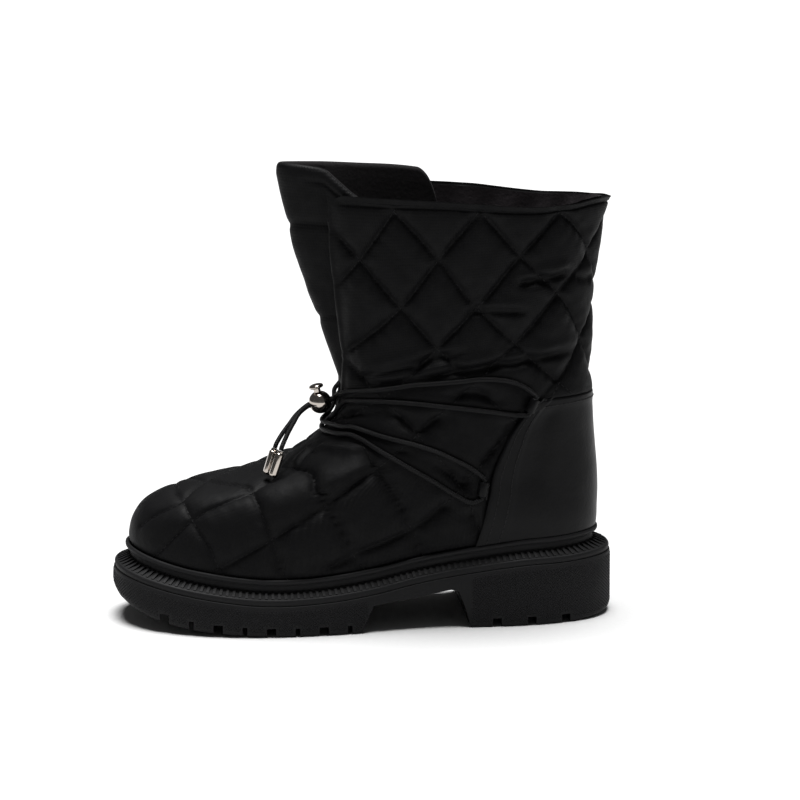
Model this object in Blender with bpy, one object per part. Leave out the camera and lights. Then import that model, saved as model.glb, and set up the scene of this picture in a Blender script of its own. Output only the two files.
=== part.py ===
"""Padded winter boot for the left foot.

A quilted upper with an open front stands on a ribbed welt and a lugged rubber sole. A soft tongue fills the
front, a leather counter holds the heel, and an elastic cord with a sprung ball lock draws the ankle in.
Frame: +Z up, toe towards -Y, outer (lateral) side at +X, floor at Z = 0. Sizes below are in millimetres.
"""

import functools
import math

import bmesh
import bpy
import numpy as np
from mathutils import Vector

MM = 0.001
WELD = 0.01
SHARP_ANGLE = 35.0

# Driving sizes
GAP = 0.3
WALL = 4.0
LIP_HEIGHT = 3.0
UNIT_HEIGHT = 14.2
CENTRE_X = -0.35
BALL_Y = -46.0
TOE_Y = -142.0
TOE_SWING = 5.0
WAIST_Y = 38.0
WAIST_SPREAD = 52.0

# Height of the welt's lip above the floor, along the foot
LIP_LINE = {
    "y": (-132, -115, -95, -60, -30, 0, 25, 50, 85, 110, 131),
    "z": (43.5, 39.3, 35.7, 31.9, 32.3, 35.6, 40.3, 44.2, 48.5, 49.2, 50.4),
}

# The last, one row for each section from the bed of the sole up to the collar: the section's ends in the middle
# plane, its half widths, where it is widest, how square its ends are, how far the arch draws in, how far it
# follows the lip line, and the half angle of the open front
SECTION_COLUMNS = (
    "front_y", "front_z", "back_y", "back_z", "lateral", "medial", "widest_y",
    "front_n", "back_n", "waist", "dip", "slit",
)
SECTIONS = {
    "bed": (-131.5, 40.8, 131.0, 47.7, 47.5, 46.5, -46, 2.25, 2.35, 0.20, 1.00, 0),
    "welt": (-132.5, 47.5, 131.8, 54.2, 49.5, 48.0, -46, 2.25, 2.35, 0.18, 0.95, 0),
    "toe_wall": (-130.0, 58.0, 132.0, 62.0, 50.5, 49.0, -44, 2.20, 2.35, 0.15, 0.80, 0),
    "toe_turn": (-122.5, 68.5, 132.2, 72.0, 50.0, 48.5, -42, 2.15, 2.30, 0.12, 0.62, 0),
    "toe_crown": (-106.0, 77.2, 131.6, 84.0, 48.5, 47.0, -37, 2.10, 2.30, 0.10, 0.42, 0),
    "vamp": (-82.0, 81.8, 130.4, 97.0, 47.0, 45.5, -26, 2.05, 2.30, 0.08, 0.24, 0),
    "ball": (-60.0, 86.0, 129.2, 110.0, 45.5, 44.0, -8, 2.00, 2.25, 0.06, 0.12, 0),
    "waist": (-40.0, 92.5, 128.4, 124.0, 43.5, 42.5, 12, 2.00, 2.20, 0.04, 0.05, 0),
    "instep": (-24.0, 104.0, 128.0, 138.0, 42.0, 41.0, 28, 2.00, 2.20, 0.02, 0.00, 0),
    "throat": (-15.0, 117.0, 128.0, 150.0, 41.0, 40.0, 38, 2.00, 2.20, 0.00, 0.00, 0),
    "ankle": (-14.0, 131.0, 128.3, 163.0, 40.5, 40.0, 46, 2.00, 2.20, 0.00, 0.00, 13),
    "shaft_low": (-17.0, 153.0, 129.0, 180.0, 41.0, 40.5, 50, 2.00, 2.20, 0.00, 0.00, 20),
    "shaft_mid": (-23.0, 180.0, 130.2, 198.5, 41.5, 41.0, 52, 2.00, 2.20, 0.00, 0.00, 26),
    "shaft_high": (-31.0, 210.0, 132.8, 219.0, 42.0, 41.5, 54, 2.00, 2.20, 0.00, 0.00, 31),
    "collar": (-38.0, 245.0, 137.0, 237.5, 42.5, 42.0, 56, 2.00, 2.20, 0.00, 0.00, 35),
}
SECTION_ROWS = np.array(list(SECTIONS.values()))
THROAT = list(SECTIONS).index("throat")
COLLAR = list(SECTIONS).index("collar")

# Upper mesh: rows of sections, columns on each side, and the round front corner of each flap
UPPER_ROWS = (0, 0.5, 1, 1.5, 2, 2.5, 3, 3.5, 4, 5, 6, 7, 8, 9, 9.5, 10, 11, 12, 13, 13.5, 14)
UPPER_HALF = 17
CORNER_RADIUS = 10.0
CORNER_FROM = 12.0
SHAFT_ROW_HEIGHT = 28.0
FLAP_MM_PER_DEGREE = 1.08

# Sole: how far it stands out from the upper along the foot, and its underside
SOLE_HALF = 28
INSOLE_HALF = 18
MARGIN_LINE = {"y": (-132, -100, -46, 40, 100, 131), "out": (10.0, 8.4, 7.6, 7.2, 8.2, 10.6)}
FLOOR_LINE = {
    "y": (-143, -141.5, -138, -131, -120, -106, -94, -80, -66, -56, -46.5, 118, 132, 143),
    "z": (20.5, 18.5, 15.0, 11.3, 7.2, 4.1, 2.5, 1.5, 0.7, 0.25, 0.0, 0.0, 1.2, 3.5),
}

# Side of the midsole from its bed outwards: share of the margin, fixed offset, and depth below the lip
MIDSOLE_ABOVE_RIBS = {
    "bed": (0, 0.5, LIP_HEIGHT),
    "lip_inside": (0, 1.7, 0.3),
    "lip_top": (0, 2.5, 0.0),
    "lip_outside": (0, 3.2, 0.9),
    "lip_under": (0, 3.2, 2.2),
    "recess_top": (0, 1.3, 2.9),
    "recess_foot": (0, 1.3, 6.6),
}
RIB_HEAD = (0, 2.0, 7.3)
RIB_FOOT = (0.76, 0, 10.2)
RIB_PITCH = 3.5
RIB_PROUD = 0.7
MIDSOLE_BELOW_RIBS = {
    "band_top": (0.92, 0, 10.7),
    "band_foot": (0.94, 0, 13.4),
    "underside": (0.90, 0, UNIT_HEIGHT - GAP),
}

# Side of the insole, in the same columns
INSOLE_INSET = -(WALL + 0.8)
INSOLE_SIDE = {
    "underside": (0, INSOLE_INSET, LIP_HEIGHT - GAP),
    "edge": (0, INSOLE_INSET, LIP_HEIGHT - GAP - 2.8),
    "top": (0, INSOLE_INSET - 1.2, LIP_HEIGHT - GAP - 4.0),
}

# Side of the outsole: the upper loops in the same columns, the lower ones with a height above the ground line
OUTSOLE_TOP = {"top": (0.88, 0, UNIT_HEIGHT), "shoulder": (1.0, 0, UNIT_HEIGHT + 0.7)}
OUTSOLE_FOOT = {"edge": (1.03, 0, 1.2), "tread": (1.03, -1.3, 0)}

# Arch cut from the side (y, z), and the grooves between the lugs
ARCH_CUT = (
    (-5, -6), (-5, 0), (2, 15.5), (25, 18.3), (46, 22.3), (50.5, 21), (54.5, 11), (57.5, 0), (57.5, -6),
)
SOLE_HALF_WIDTH = 80.0
LUG_DEPTH = 5.0
EDGE_GROOVES = {
    "forefoot": {"first": -114.2, "pitch": 14.7, "count": 8, "widths": (5.2, 2.6)},
    "heel": {"first": 72.4, "pitch": 20.0, "count": 3, "widths": (5.0, 5.0)},
}
EDGE_GROOVE_INNER = 16.0
LONG_GROOVES = {
    "forefoot": {"x": 15.0, "start": -111.0, "end": 6.0},
    "heel": {"x": 13.0, "start": 45.0, "end": 128.0},
}
LONG_GROOVE_WIDTH = 3.0
LONG_GROOVE_DEPTH = 4.4
CROSS_GROOVE_DEPTH = 3.9

# Heel counter: its front seam from the lip upwards, its leather and its top edge
SEAM_LINE = {
    "z": (46, 59, 74, 83, 92, 99, 110.5, 122, 129.5, 140),
    "y": (60, 63.8, 67, 68.2, 70.8, 73.7, 79.2, 88.2, 98, 110),
}
SEAM_ANGLES = (60, 175)
COUNTER_THICK = 1.5
COUNTER_OFF = 0.4
COUNTER_TOP_Z = 129.0
COUNTER_TOP_ROWS = (4, 12)
COUNTER_FOOT = 0.5
COUNTER_ROWS = 6
COUNTER_HALF = 12

# Tongue: how far it swells through the open front at each section, and its top edge across its wings
TONGUE_THICK = 4.5
TONGUE_CLEARANCE = 1.3
TONGUE_SWELL = {"v": (8, 9, 10, 11, 12, 13, 14, 15), "out": (0, 0, 3.2, 7.4, 11.4, 13.4, 14.4, 12.5)}
SWELL_FLATNESS = 2.6
SWELL_EASE = 1.2
TONGUE_TOP = {
    "across": (-1, -0.97, -0.94, -0.9, -0.6, 0, 0.4, 0.55, 0.7, 1),
    "v": (13.5, 13.95, 14.2, 14.32, 14.34, 14.34, 14.32, 14.15, 13.95, 13.6),
}
TONGUE_FOOT = 8.2
TONGUE_WINGS = {"lateral": 62.0, "medial": 83.5}
TONGUE_SHARE_OF_SLIT = 0.84
TONGUE_ROWS = 9
TONGUE_COLUMNS = 21
TONGUE_CROWDING = 1.4

# Cord tabs: place of each on the upper seen from its side, its lean, and how far its cord stands off the upper
CORD_RADIUS = 1.3
CORD_CLEARANCE = 1.0
TAB_LEAF = 1.0
TAB_HOLE = CORD_RADIUS + GAP
TAB_RADIUS = TAB_HOLE + TAB_LEAF
TABS = {
    "upper": {"y": 89.5, "z": 126.3, "lean": 26.0, "off": COUNTER_OFF + COUNTER_THICK + GAP + TAB_RADIUS},
    "lower": {"y": 63.2, "z": 79.5, "lean": 9.0, "off": COUNTER_OFF + TAB_RADIUS},
}
TAB_HALF = 4.0
TAB_TAIL = ((-2.0, -TAB_RADIUS), (-3.4, -TAB_RADIUS), (-3.4, -0.6), (-2.9, 0.6), (-1.8, 2.0))
TAB_FOLD_TURNS = range(90, -91, -30)
TAB_TAIL_TURNS = range(-120, -241, -30)
TAB_LEADS = (0.4, 1.6)

# Cord lock: ball with a sprung button, in front of the throat; profiles are radius and height along its axis
LOCK_CENTRE = (0.0, -24.6, 122.2)
LOCK_RADIUS = 6.5
LOCK_TILT = 14.0
LOCK_SIDES = 12
LOCK_RINGS = 8
SLOT_HALF = 1.75
SLOT_RADIUS = CORD_RADIUS + GAP + 0.05
BORE_RADIUS = 2.4
BORE_FLOOR = 2.2
BUTTON_SIDES = 12
BUTTON_PROFILE = {
    "stem_end": (2.0, 4.9),
    "stem_top": (2.0, 8.3),
    "rim_under": (3.6, 8.3),
    "rim": (4.2, 9.1),
    "rim_top": (3.6, 10.2),
    "crown": (1.9, 10.7),
}
CORD_BEHIND_LOCK = 1.5

# Metal tips on the cord's ends: radius and distance from the cord's end
TIP_SIDES = 8
TIP_PROFILE = {
    "neck_top": (1.9, GAP),
    "neck_foot": (1.9, 1.8),
    "shoulder": (2.6, 2.4),
    "edge": (2.6, 14.3),
    "end": (1.8, 15.5),
}

# Route of the cord on one side, as heights on the upper seen from that side (y, z): out along the upper strand
# of a loop to its tab, and back along the lower strand
UPPER_LOOP = {
    "out": ((-2.5, 133), (10.9, 135.6), (24.4, 138.6), (49.5, 140.9), (62, 142), (76, 140.6), (85.5, 136.8)),
    "back": ((82, 120.8), (69.7, 123), (48.4, 126.2), (27.9, 128.2), (10.9, 128.4), (-3, 127.2)),
}
LOWER_LOOP = {
    "out": ((-6.9, 112), (-1, 111.2), (6, 109.7), (23.5, 106.2), (37.4, 101.4), (45.3, 97.6), (56.1, 91.6)),
    "back": ((57, 71.8), (48.5, 75.8), (37.5, 83.2), (23.4, 91.8), (10.5, 99.4), (4, 102.9), (-3, 106.6)),
}
# Where the strands pass over the throat: section, angle and lift above the upper
CROSSINGS = {
    "from_lock": ((9.8, 10, 0.8), (9.96, 24, 0)),
    "under": ((9.6, 22, 0), (9.3, 14, 0), (8.8, 7, 0), (8.42, 0, 0), (8.36, -16, 0), (8.38, -29, 0)),
    "bar": ((8.06, -44, 0), (8.14, -22, 0), (8.16, 0, 0), (8.14, 22, 0), (8.06, 44, 0)),
    "over": ((8.42, 29, 0), (8.46, 16, 0.6), (8.42, 0, 2.9), (8.8, -7, 1.2), (9.3, -14, 0.3), (9.6, -22, 0)),
    "to_lock": ((9.96, -24, 0), (9.8, -10, 0.8)),
}
STRAND_STEP = 15.0
CROSSING_STEP = 14.0
CORD_BEND = 38.0
CORD_STRIDE = 24.0
# Free ends: from the lock down to the tips, which rest on the vamp's outer slope
END_ROUTES = {
    "near": ((7, -36.6, 117.5), (16, -40.7, 113.6), (25, -44.6, 109.2), (30.6, -47.9, 103.6), (31, -48.7, 101.3)),
    "far": ((2.5, -37.8, 116), (10.5, -42.6, 112), (18.5, -47.2, 108), (24.3, -50.8, 103.7), (24.6, -51.6, 101.4)),
}
END_BEND = 26.0
END_STRIDE = 12.0


def smooth(xs, ys, x):
    """Value at x of a smooth curve through the points, straight beyond its ends."""
    last = len(xs) - 1
    slopes = []
    for i in range(last + 1):
        before, after = max(i - 1, 0), min(i + 1, last)
        slopes.append((ys[after] - ys[before]) / (xs[after] - xs[before]))
    if x <= xs[0]:
        return ys[0] + slopes[0] * (x - xs[0])
    if x >= xs[last]:
        return ys[last] + slopes[last] * (x - xs[last])
    i = next(k for k in range(last) if x <= xs[k + 1])
    span = xs[i + 1] - xs[i]
    t = (x - xs[i]) / span
    return (
        ys[i] * (1 + 2 * t) * (1 - t) ** 2
        + slopes[i] * span * t * (1 - t) ** 2
        + ys[i + 1] * t * t * (3 - 2 * t)
        + slopes[i + 1] * span * t * t * (t - 1)
    )


@functools.lru_cache(None)
def lip(y):
    return smooth(LIP_LINE["y"], LIP_LINE["z"], y)


@functools.lru_cache(None)
def section(v):
    return dict(zip(SECTION_COLUMNS, smooth(range(len(SECTION_ROWS)), SECTION_ROWS, v)))


def upper_base(v, angle):
    """Point of the upper's outer face at section v, at an angle from the front, lateral positive."""
    angle = (angle + 180) % 360 - 180
    s = section(v)
    turn = math.radians(abs(angle))
    fore = turn < math.pi / 2
    power = 2 / (s["front_n"] if fore else s["back_n"])
    reach = (s["front_y"] if fore else s["back_y"]) - s["widest_y"]
    y = s["widest_y"] + reach * abs(math.cos(turn)) ** power
    x = (s["lateral"] if angle >= 0 else s["medial"]) * abs(math.sin(turn)) ** power
    x *= 1 - s["waist"] * math.exp(-(((y - WAIST_Y) / WAIST_SPREAD) ** 2))
    share = (y - s["front_y"]) / (s["back_y"] - s["front_y"])
    first, last = LIP_LINE["y"][0], LIP_LINE["y"][-1]
    chord = lip(first) + (lip(last) - lip(first)) * (y - first) / (last - first)
    z = s["front_z"] + (s["back_z"] - s["front_z"]) * share + s["dip"] * (lip(y) - chord)
    swing = TOE_SWING * max(0.0, (BALL_Y - y) / (BALL_Y - TOE_Y)) ** 2
    return Vector((math.copysign(x, angle) - swing + CENTRE_X, y, z))


def upper_normal(v, angle):
    along = upper_base(v, angle + 0.5) - upper_base(v, angle - 0.5)
    up = upper_base(v + 0.02, angle) - upper_base(v - 0.02, angle)
    return along.cross(up).normalized()


def upper_point(v, angle, out=0.0):
    return upper_base(v, angle) + upper_normal(v, angle) * out


def on_upper(y, z, side):
    """Section and angle of the upper's outer face at a height z and a length y, seen from one side."""
    guesses = [(v, a * side) for v in range(COLLAR + 1) for a in range(10, 180, 10)]
    target = Vector((0, y, z))
    nudge = (0.01, 0.1)
    longest = np.array((1.0, 10.0))

    def miss(v, angle):
        point = upper_base(v, angle) - target
        return np.array((point.y, point.z))

    v, angle = min(guesses, key=lambda guess: np.linalg.norm(miss(*guess)))
    for _ in range(12):
        here = miss(v, angle)
        slope = np.column_stack((miss(v + nudge[0], angle) - here, miss(v, angle + nudge[1]) - here)) / nudge
        step = np.clip(np.linalg.solve(slope, -here), -longest, longest)
        v += step[0]
        angle += step[1]
    return v, angle


def spread(count):
    """Shares from 0 to 1 that lie closer together near both ends."""
    even = [j / count for j in range(count + 1)]
    return [(f + (1 - math.cos(math.pi * f)) / 2) / 2 for f in even]


def path_through(points, bend=CORD_BEND, stride=CORD_STRIDE):
    """Points of a smooth curve through the route's own points, closer together where it bends."""
    knots = [points[0] * 2 - points[1]] + list(points) + [points[-1] * 2 - points[-2]]
    path = [points[0]]
    for a, b, c, d in zip(knots, knots[1:], knots[2:], knots[3:]):
        span = (c - b).length
        start, end = (c - a).normalized() * span, (d - b).normalized() * span
        turned_by = math.degrees(start.angle(end))
        steps = max(1, math.ceil(turned_by / bend), math.ceil(span / stride))
        for k in range(1, steps + 1):
            t = k / steps
            path.append(
                b * (1 + 2 * t) * (1 - t) ** 2 + start * t * (1 - t) ** 2
                + c * t * t * (3 - 2 * t) + end * t * t * (t - 1)
            )
    return path


def paint(name, colour, roughness, metallic=0.0):
    material = bpy.data.materials.new(name)
    material.use_nodes = True
    shader = material.node_tree.nodes["Principled BSDF"]
    shader.inputs["Base Color"].default_value = (*colour, 1)
    shader.inputs["Roughness"].default_value = roughness
    shader.inputs["Metallic"].default_value = metallic
    return material


def add_object(name, data, material=None):
    thing = bpy.data.objects.new(name, data)
    bpy.context.scene.collection.objects.link(thing)
    if material:
        data.materials.append(material)
    return thing


def add_solid(name, points, faces, material=None):
    """Closed mesh from points in millimetres, with shared points welded and faces turned outwards."""
    mesh = bpy.data.meshes.new(name)
    mesh.from_pydata([Vector(p) * MM for p in points], [], faces)
    work = bmesh.new()
    work.from_mesh(mesh)
    bmesh.ops.remove_doubles(work, verts=work.verts, dist=WELD * MM)
    bmesh.ops.recalc_face_normals(work, faces=work.faces)
    work.to_mesh(mesh)
    work.free()
    mesh.shade_smooth()
    mesh.set_sharp_from_angle(angle=math.radians(SHARP_ANGLE))
    return add_object(name, mesh, material)


def add_tube(name, path, material):
    """Cord along a path in millimetres."""
    curve = bpy.data.curves.new(name, "CURVE")
    curve.dimensions = "3D"
    curve.bevel_depth = CORD_RADIUS * MM
    curve.bevel_resolution = 2
    curve.use_fill_caps = True
    spline = curve.splines.new("POLY")
    spline.points.add(len(path) - 1)
    for knot, point in zip(spline.points, path):
        knot.co = (*(point * MM), 1)
    return add_object(name, curve, material)


def shell(outer, inner, open_from=0):
    """Points and faces of a wall between two grids, with its two side edges closed from one row upwards."""
    rows, columns = len(outer), len(outer[0])
    points = [p for grid in (outer, inner) for row in grid for p in row]
    faces = []

    def front(k, j):
        return k * columns + j

    def back(k, j):
        return (rows + k) * columns + j

    for k in range(rows - 1):
        for j in range(columns - 1):
            faces.append((front(k, j), front(k, j + 1), front(k + 1, j + 1), front(k + 1, j)))
            faces.append((back(k, j), back(k + 1, j), back(k + 1, j + 1), back(k, j + 1)))
    for k in (0, rows - 1):
        for j in range(columns - 1):
            faces.append((front(k, j), front(k, j + 1), back(k, j + 1), back(k, j)))
    for j in (0, columns - 1):
        for k in range(open_from, rows - 1):
            faces.append((front(k, j), front(k + 1, j), back(k + 1, j), back(k, j)))
    return points, faces


class Loft:
    """Closed loops of points, bridged one to the next and capped across."""

    def __init__(self):
        self.points = []
        self.faces = []

    def add(self, loop):
        first = len(self.points)
        self.points.extend(loop)
        return list(range(first, first + len(loop)))

    def bridge(self, lower, upper):
        for j in range(len(lower)):
            after = (j + 1) % len(lower)
            self.faces.append((lower[j], lower[after], upper[after], upper[j]))

    def zip(self, one, two):
        """Bridge loops with different numbers of points from the same start, by the shorter way across."""
        i = j = 0
        while i < len(one) or j < len(two):
            here, there = one[i % len(one)], two[j % len(two)]
            next_one, next_two = one[(i + 1) % len(one)], two[(j + 1) % len(two)]
            from_one = (self.points[next_one] - self.points[there]).length
            from_two = (self.points[next_two] - self.points[here]).length
            if j == len(two) or (i < len(one) and from_one <= from_two):
                self.faces.append((here, next_one, there))
                i += 1
            else:
                self.faces.append((there, here, next_two))
                j += 1

    def cap(self, loop):
        """Close a loop with strips from side to side, so that its face bends only along the foot."""
        count = len(loop)
        middle = count // 2
        self.faces.append((loop[0], loop[1], loop[-1]))
        for j in range(1, middle - 1):
            self.faces.append((loop[j], loop[j + 1], loop[count - j - 1], loop[count - j]))
        self.faces.append((loop[middle - 1], loop[middle], loop[middle + 1]))


def sole_angles(columns=SOLE_HALF):
    half = [180 * f for f in spread(columns)]
    return half + [-a for a in half[-2:0:-1]]


def foot_line():
    """Angles all round the upper's foot line, and the distance along it from the toe to each."""
    angles = np.linspace(0, 360, 1441)
    places = [upper_base(0, a) for a in angles]
    steps = [(q - p).length for p, q in zip(places, places[1:])]
    return angles, np.concatenate(([0], np.cumsum(steps)))


def beside_upper(angle, place, proud=0.0):
    """Point of the sole's side: share of the margin, fixed offset and depth below the lip."""
    share, fixed, depth = place
    foot = upper_base(0, angle)
    along = upper_base(0, angle + 0.5) - upper_base(0, angle - 0.5)
    outwards = Vector((along.y, -along.x, 0)).normalized()
    margin = smooth(MARGIN_LINE["y"], MARGIN_LINE["out"], foot.y)
    point = foot + outwards * (share * margin + fixed + proud)
    point.z = lip(foot.y) - depth + proud
    return point


def floor_height(y):
    return float(np.interp(y, FLOOR_LINE["y"], FLOOR_LINE["z"]))


def make_upper(material):
    outer, inner = [], []
    shares = spread(UPPER_HALF)
    for row in UPPER_ROWS:
        outside, inside = [], []
        for side, run in ((1, shares), (-1, shares[-2::-1])):
            for share in run:
                slit = max(0.0, section(row)["slit"]) if row > THROAT else 0.0
                angle = slit + (180 - slit) * share
                from_edge = min(CORNER_RADIUS, (angle - slit) * FLAP_MM_PER_DEGREE)
                drop = CORNER_RADIUS - math.sqrt(CORNER_RADIUS**2 - (CORNER_RADIUS - from_edge) ** 2)
                lowered = max(0.0, row - CORNER_FROM) / (COLLAR - CORNER_FROM)
                v = row - lowered * drop / SHAFT_ROW_HEIGHT
                outside.append(upper_point(v, angle * side))
                inside.append(upper_point(v, angle * side, -WALL))
        outer.append(outside)
        inner.append(inside)
    return add_solid("upper", *shell(outer, inner, UPPER_ROWS.index(THROAT)), material)


def make_midsole(material):
    loft = Loft()
    angles = sole_angles()
    above = [loft.add([beside_upper(a, place) for a in angles]) for place in MIDSOLE_ABOVE_RIBS.values()]
    below = [loft.add([beside_upper(a, place) for a in angles]) for place in MIDSOLE_BELOW_RIBS.values()]
    round_foot, run = foot_line()
    edges = 2 * round(run[-1] / RIB_PITCH)
    rib_angles = np.interp(np.arange(edges) * run[-1] / edges, run, round_foot)
    heads, feet = (
        loft.add([beside_upper(a, place, RIB_PROUD * (k % 2)) for k, a in enumerate(rib_angles)])
        for place in (RIB_HEAD, RIB_FOOT)
    )
    loft.cap(above[0])
    for upper_loop, lower_loop in zip(above, above[1:]):
        loft.bridge(lower_loop, upper_loop)
    loft.zip(above[-1], heads)
    loft.bridge(feet, heads)
    loft.zip(feet, below[0])
    for upper_loop, lower_loop in zip(below, below[1:]):
        loft.bridge(lower_loop, upper_loop)
    loft.cap(below[-1])
    return add_solid("midsole", loft.points, loft.faces, material)


def make_insole(material):
    loft = Loft()
    angles = sole_angles(INSOLE_HALF)
    loops = [loft.add([beside_upper(a, place) for a in angles]) for place in INSOLE_SIDE.values()]
    loft.cap(loops[0])
    for lower_loop, upper_loop in zip(loops, loops[1:]):
        loft.bridge(lower_loop, upper_loop)
    loft.cap(loops[-1])
    return add_solid("insole", loft.points, loft.faces, material)


def box_points(length, width, low, high, middle):
    """Corners of an upright box of a length across the foot and a width along it."""
    return [
        (middle[0] + x * length / 2, middle[1] + y * width / 2, z)
        for z in (low, high)
        for x, y in ((-1, -1), (1, -1), (1, 1), (-1, 1))
    ]


BOX_FACES = ((0, 3, 2, 1), (4, 5, 6, 7), (0, 1, 5, 4), (1, 2, 6, 5), (2, 3, 7, 6), (3, 0, 4, 7))


def add_boxes(name, boxes):
    points, faces = [], []
    for corners in boxes:
        faces.extend(tuple(len(points) + i for i in face) for face in BOX_FACES)
        points.extend(corners)
    return add_solid(name, points, faces)


def cut(thing, cutter):
    modifier = thing.modifiers.new(cutter.name, "BOOLEAN")
    modifier.operation = "DIFFERENCE"
    modifier.solver = "EXACT"
    modifier.object = cutter
    cutter.hide_render = True
    cutter.display_type = "WIRE"


def make_arch_cutter():
    count = len(ARCH_CUT)
    points = [(x, y, z) for x in (-SOLE_HALF_WIDTH, SOLE_HALF_WIDTH) for y, z in ARCH_CUT]
    sides = [(k, (k + 1) % count, count + (k + 1) % count, count + k) for k in range(count)]
    ends = [tuple(range(count)), tuple(range(count, 2 * count))]
    return add_solid("arch_cutter", points, sides + ends)


def make_groove_cutters():
    """Cutters of the grooves at the edge, of those along the foot and of those across its middle."""
    edges, runs, crosses = [], [], []
    reach = SOLE_HALF_WIDTH - EDGE_GROOVE_INNER
    for zone in EDGE_GROOVES.values():
        for k in range(zone["count"]):
            y = zone["first"] + k * zone["pitch"]
            for side in (-1, 1):
                middle = (side * (EDGE_GROOVE_INNER + reach / 2), y)
                high = floor_height(y) + LUG_DEPTH
                edges.append(box_points(reach, zone["widths"][k % 2], -LUG_DEPTH, high, middle))
        for k in range(zone["count"] - 1):
            y = zone["first"] + (k + 0.5) * zone["pitch"]
            high = floor_height(y) + CROSS_GROOVE_DEPTH
            across_foot = 2 * EDGE_GROOVE_INNER
            crosses.append(box_points(across_foot, LONG_GROOVE_WIDTH, -LUG_DEPTH, high, (CENTRE_X, y)))
    for groove in LONG_GROOVES.values():
        length = groove["end"] - groove["start"]
        for side in (-1, 1):
            middle = (CENTRE_X + side * groove["x"], groove["start"] + length / 2)
            runs.append(box_points(LONG_GROOVE_WIDTH, length, -LUG_DEPTH, LONG_GROOVE_DEPTH, middle))
    return add_boxes("edge_grooves", edges), add_boxes("long_grooves", runs), add_boxes("cross_grooves", crosses)


def make_outsole(material):
    loft = Loft()
    angles = sole_angles()
    loops = [loft.add([beside_upper(a, place) for a in angles]) for place in OUTSOLE_TOP.values()]
    for share, fixed, rise in OUTSOLE_FOOT.values():
        ring = []
        for a in angles:
            point = beside_upper(a, (share, fixed, 0))
            point.z = floor_height(point.y) + rise
            ring.append(point)
        loops.append(loft.add(ring))
    loft.cap(loops[0])
    for upper_loop, lower_loop in zip(loops, loops[1:]):
        loft.bridge(lower_loop, upper_loop)
    loft.cap(loops[-1])
    outsole = add_solid("outsole", loft.points, loft.faces, material)
    cut(outsole, make_arch_cutter())
    for cutter in make_groove_cutters():
        cut(outsole, cutter)
    return outsole


def seam_y(z):
    return smooth(SEAM_LINE["z"], SEAM_LINE["y"], z)


def bisect(low, high, over):
    """Where a test turns true between two values."""
    for _ in range(40):
        middle = (low + high) / 2
        if over(middle):
            high = middle
        else:
            low = middle
    return high


def seam_angle(v, side):
    def behind(angle):
        point = upper_base(v, angle * side)
        return point.y > seam_y(point.z)

    return bisect(*SEAM_ANGLES, behind)


def counter_place(share_up, share_across):
    """Section and angle of a point of the counter, from its foot to its top and from the heel to a seam."""
    side = 1 if share_across >= 0 else -1

    def angle_at(v):
        return side * (180 - abs(share_across) * (180 - seam_angle(v, side)))

    top = bisect(*COUNTER_TOP_ROWS, lambda v: upper_base(v, angle_at(v)).z > COUNTER_TOP_Z)
    v = COUNTER_FOOT + (top - COUNTER_FOOT) * share_up
    return v, angle_at(v)


def make_counter(material):
    outer, inner = [], []
    columns = np.linspace(1, -1, 2 * COUNTER_HALF + 1)
    for share_up in np.linspace(0, 1, COUNTER_ROWS + 1):
        places = [counter_place(share_up, share_across) for share_across in columns]
        outer.append([upper_point(*place, COUNTER_OFF + COUNTER_THICK) for place in places])
        inner.append([upper_point(*place, COUNTER_OFF) for place in places])
    return add_solid("heel_counter", *shell(outer, inner), material)


def tongue_middle(v, across_wings):
    wing = TONGUE_WINGS["lateral"] if across_wings >= 0 else TONGUE_WINGS["medial"]
    angle = across_wings * wing
    point = upper_point(v, angle, -(WALL + TONGUE_CLEARANCE + TONGUE_THICK / 2))
    slit = max(1.0, section(v)["slit"]) * TONGUE_SHARE_OF_SLIT
    swell = smooth(TONGUE_SWELL["v"], TONGUE_SWELL["out"], v)
    point.y -= swell * max(0.0, 1 - abs(angle / slit) ** SWELL_FLATNESS) ** SWELL_EASE
    return point


def make_tongue(material):
    outer, inner = [], []
    nudge = 0.01
    even = np.linspace(-1, 1, TONGUE_COLUMNS + 1)
    columns = [math.copysign(abs(f) ** TONGUE_CROWDING, f) for f in even]
    for r in range(TONGUE_ROWS + 1):
        outside, inside = [], []
        for c in columns:
            top = smooth(TONGUE_TOP["across"], TONGUE_TOP["v"], c)
            v = TONGUE_FOOT + (top - TONGUE_FOOT) * r / TONGUE_ROWS
            along = tongue_middle(v, c + nudge) - tongue_middle(v, c - nudge)
            up = tongue_middle(v + nudge, c) - tongue_middle(v - nudge, c)
            half = along.cross(up).normalized() * TONGUE_THICK / 2
            middle = tongue_middle(v, c)
            outside.append(middle + half)
            inside.append(middle - half)
        outer.append(outside)
        inner.append(inside)
    return add_solid("tongue", *shell(outer, inner), material)


def tab_frame(level, side):
    """Middle of the cord in a tab, with the directions down along it, forwards and out from the upper."""
    tab = TABS[level]
    place = on_upper(tab["y"], tab["z"], side)
    out = upper_normal(*place)
    lean = math.radians(tab["lean"])
    down = Vector((0, -math.sin(lean), -math.cos(lean)))
    down = (down - out * down.dot(out)).normalized()
    return upper_point(*place, tab["off"]), down, down.cross(out) * side, out


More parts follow.
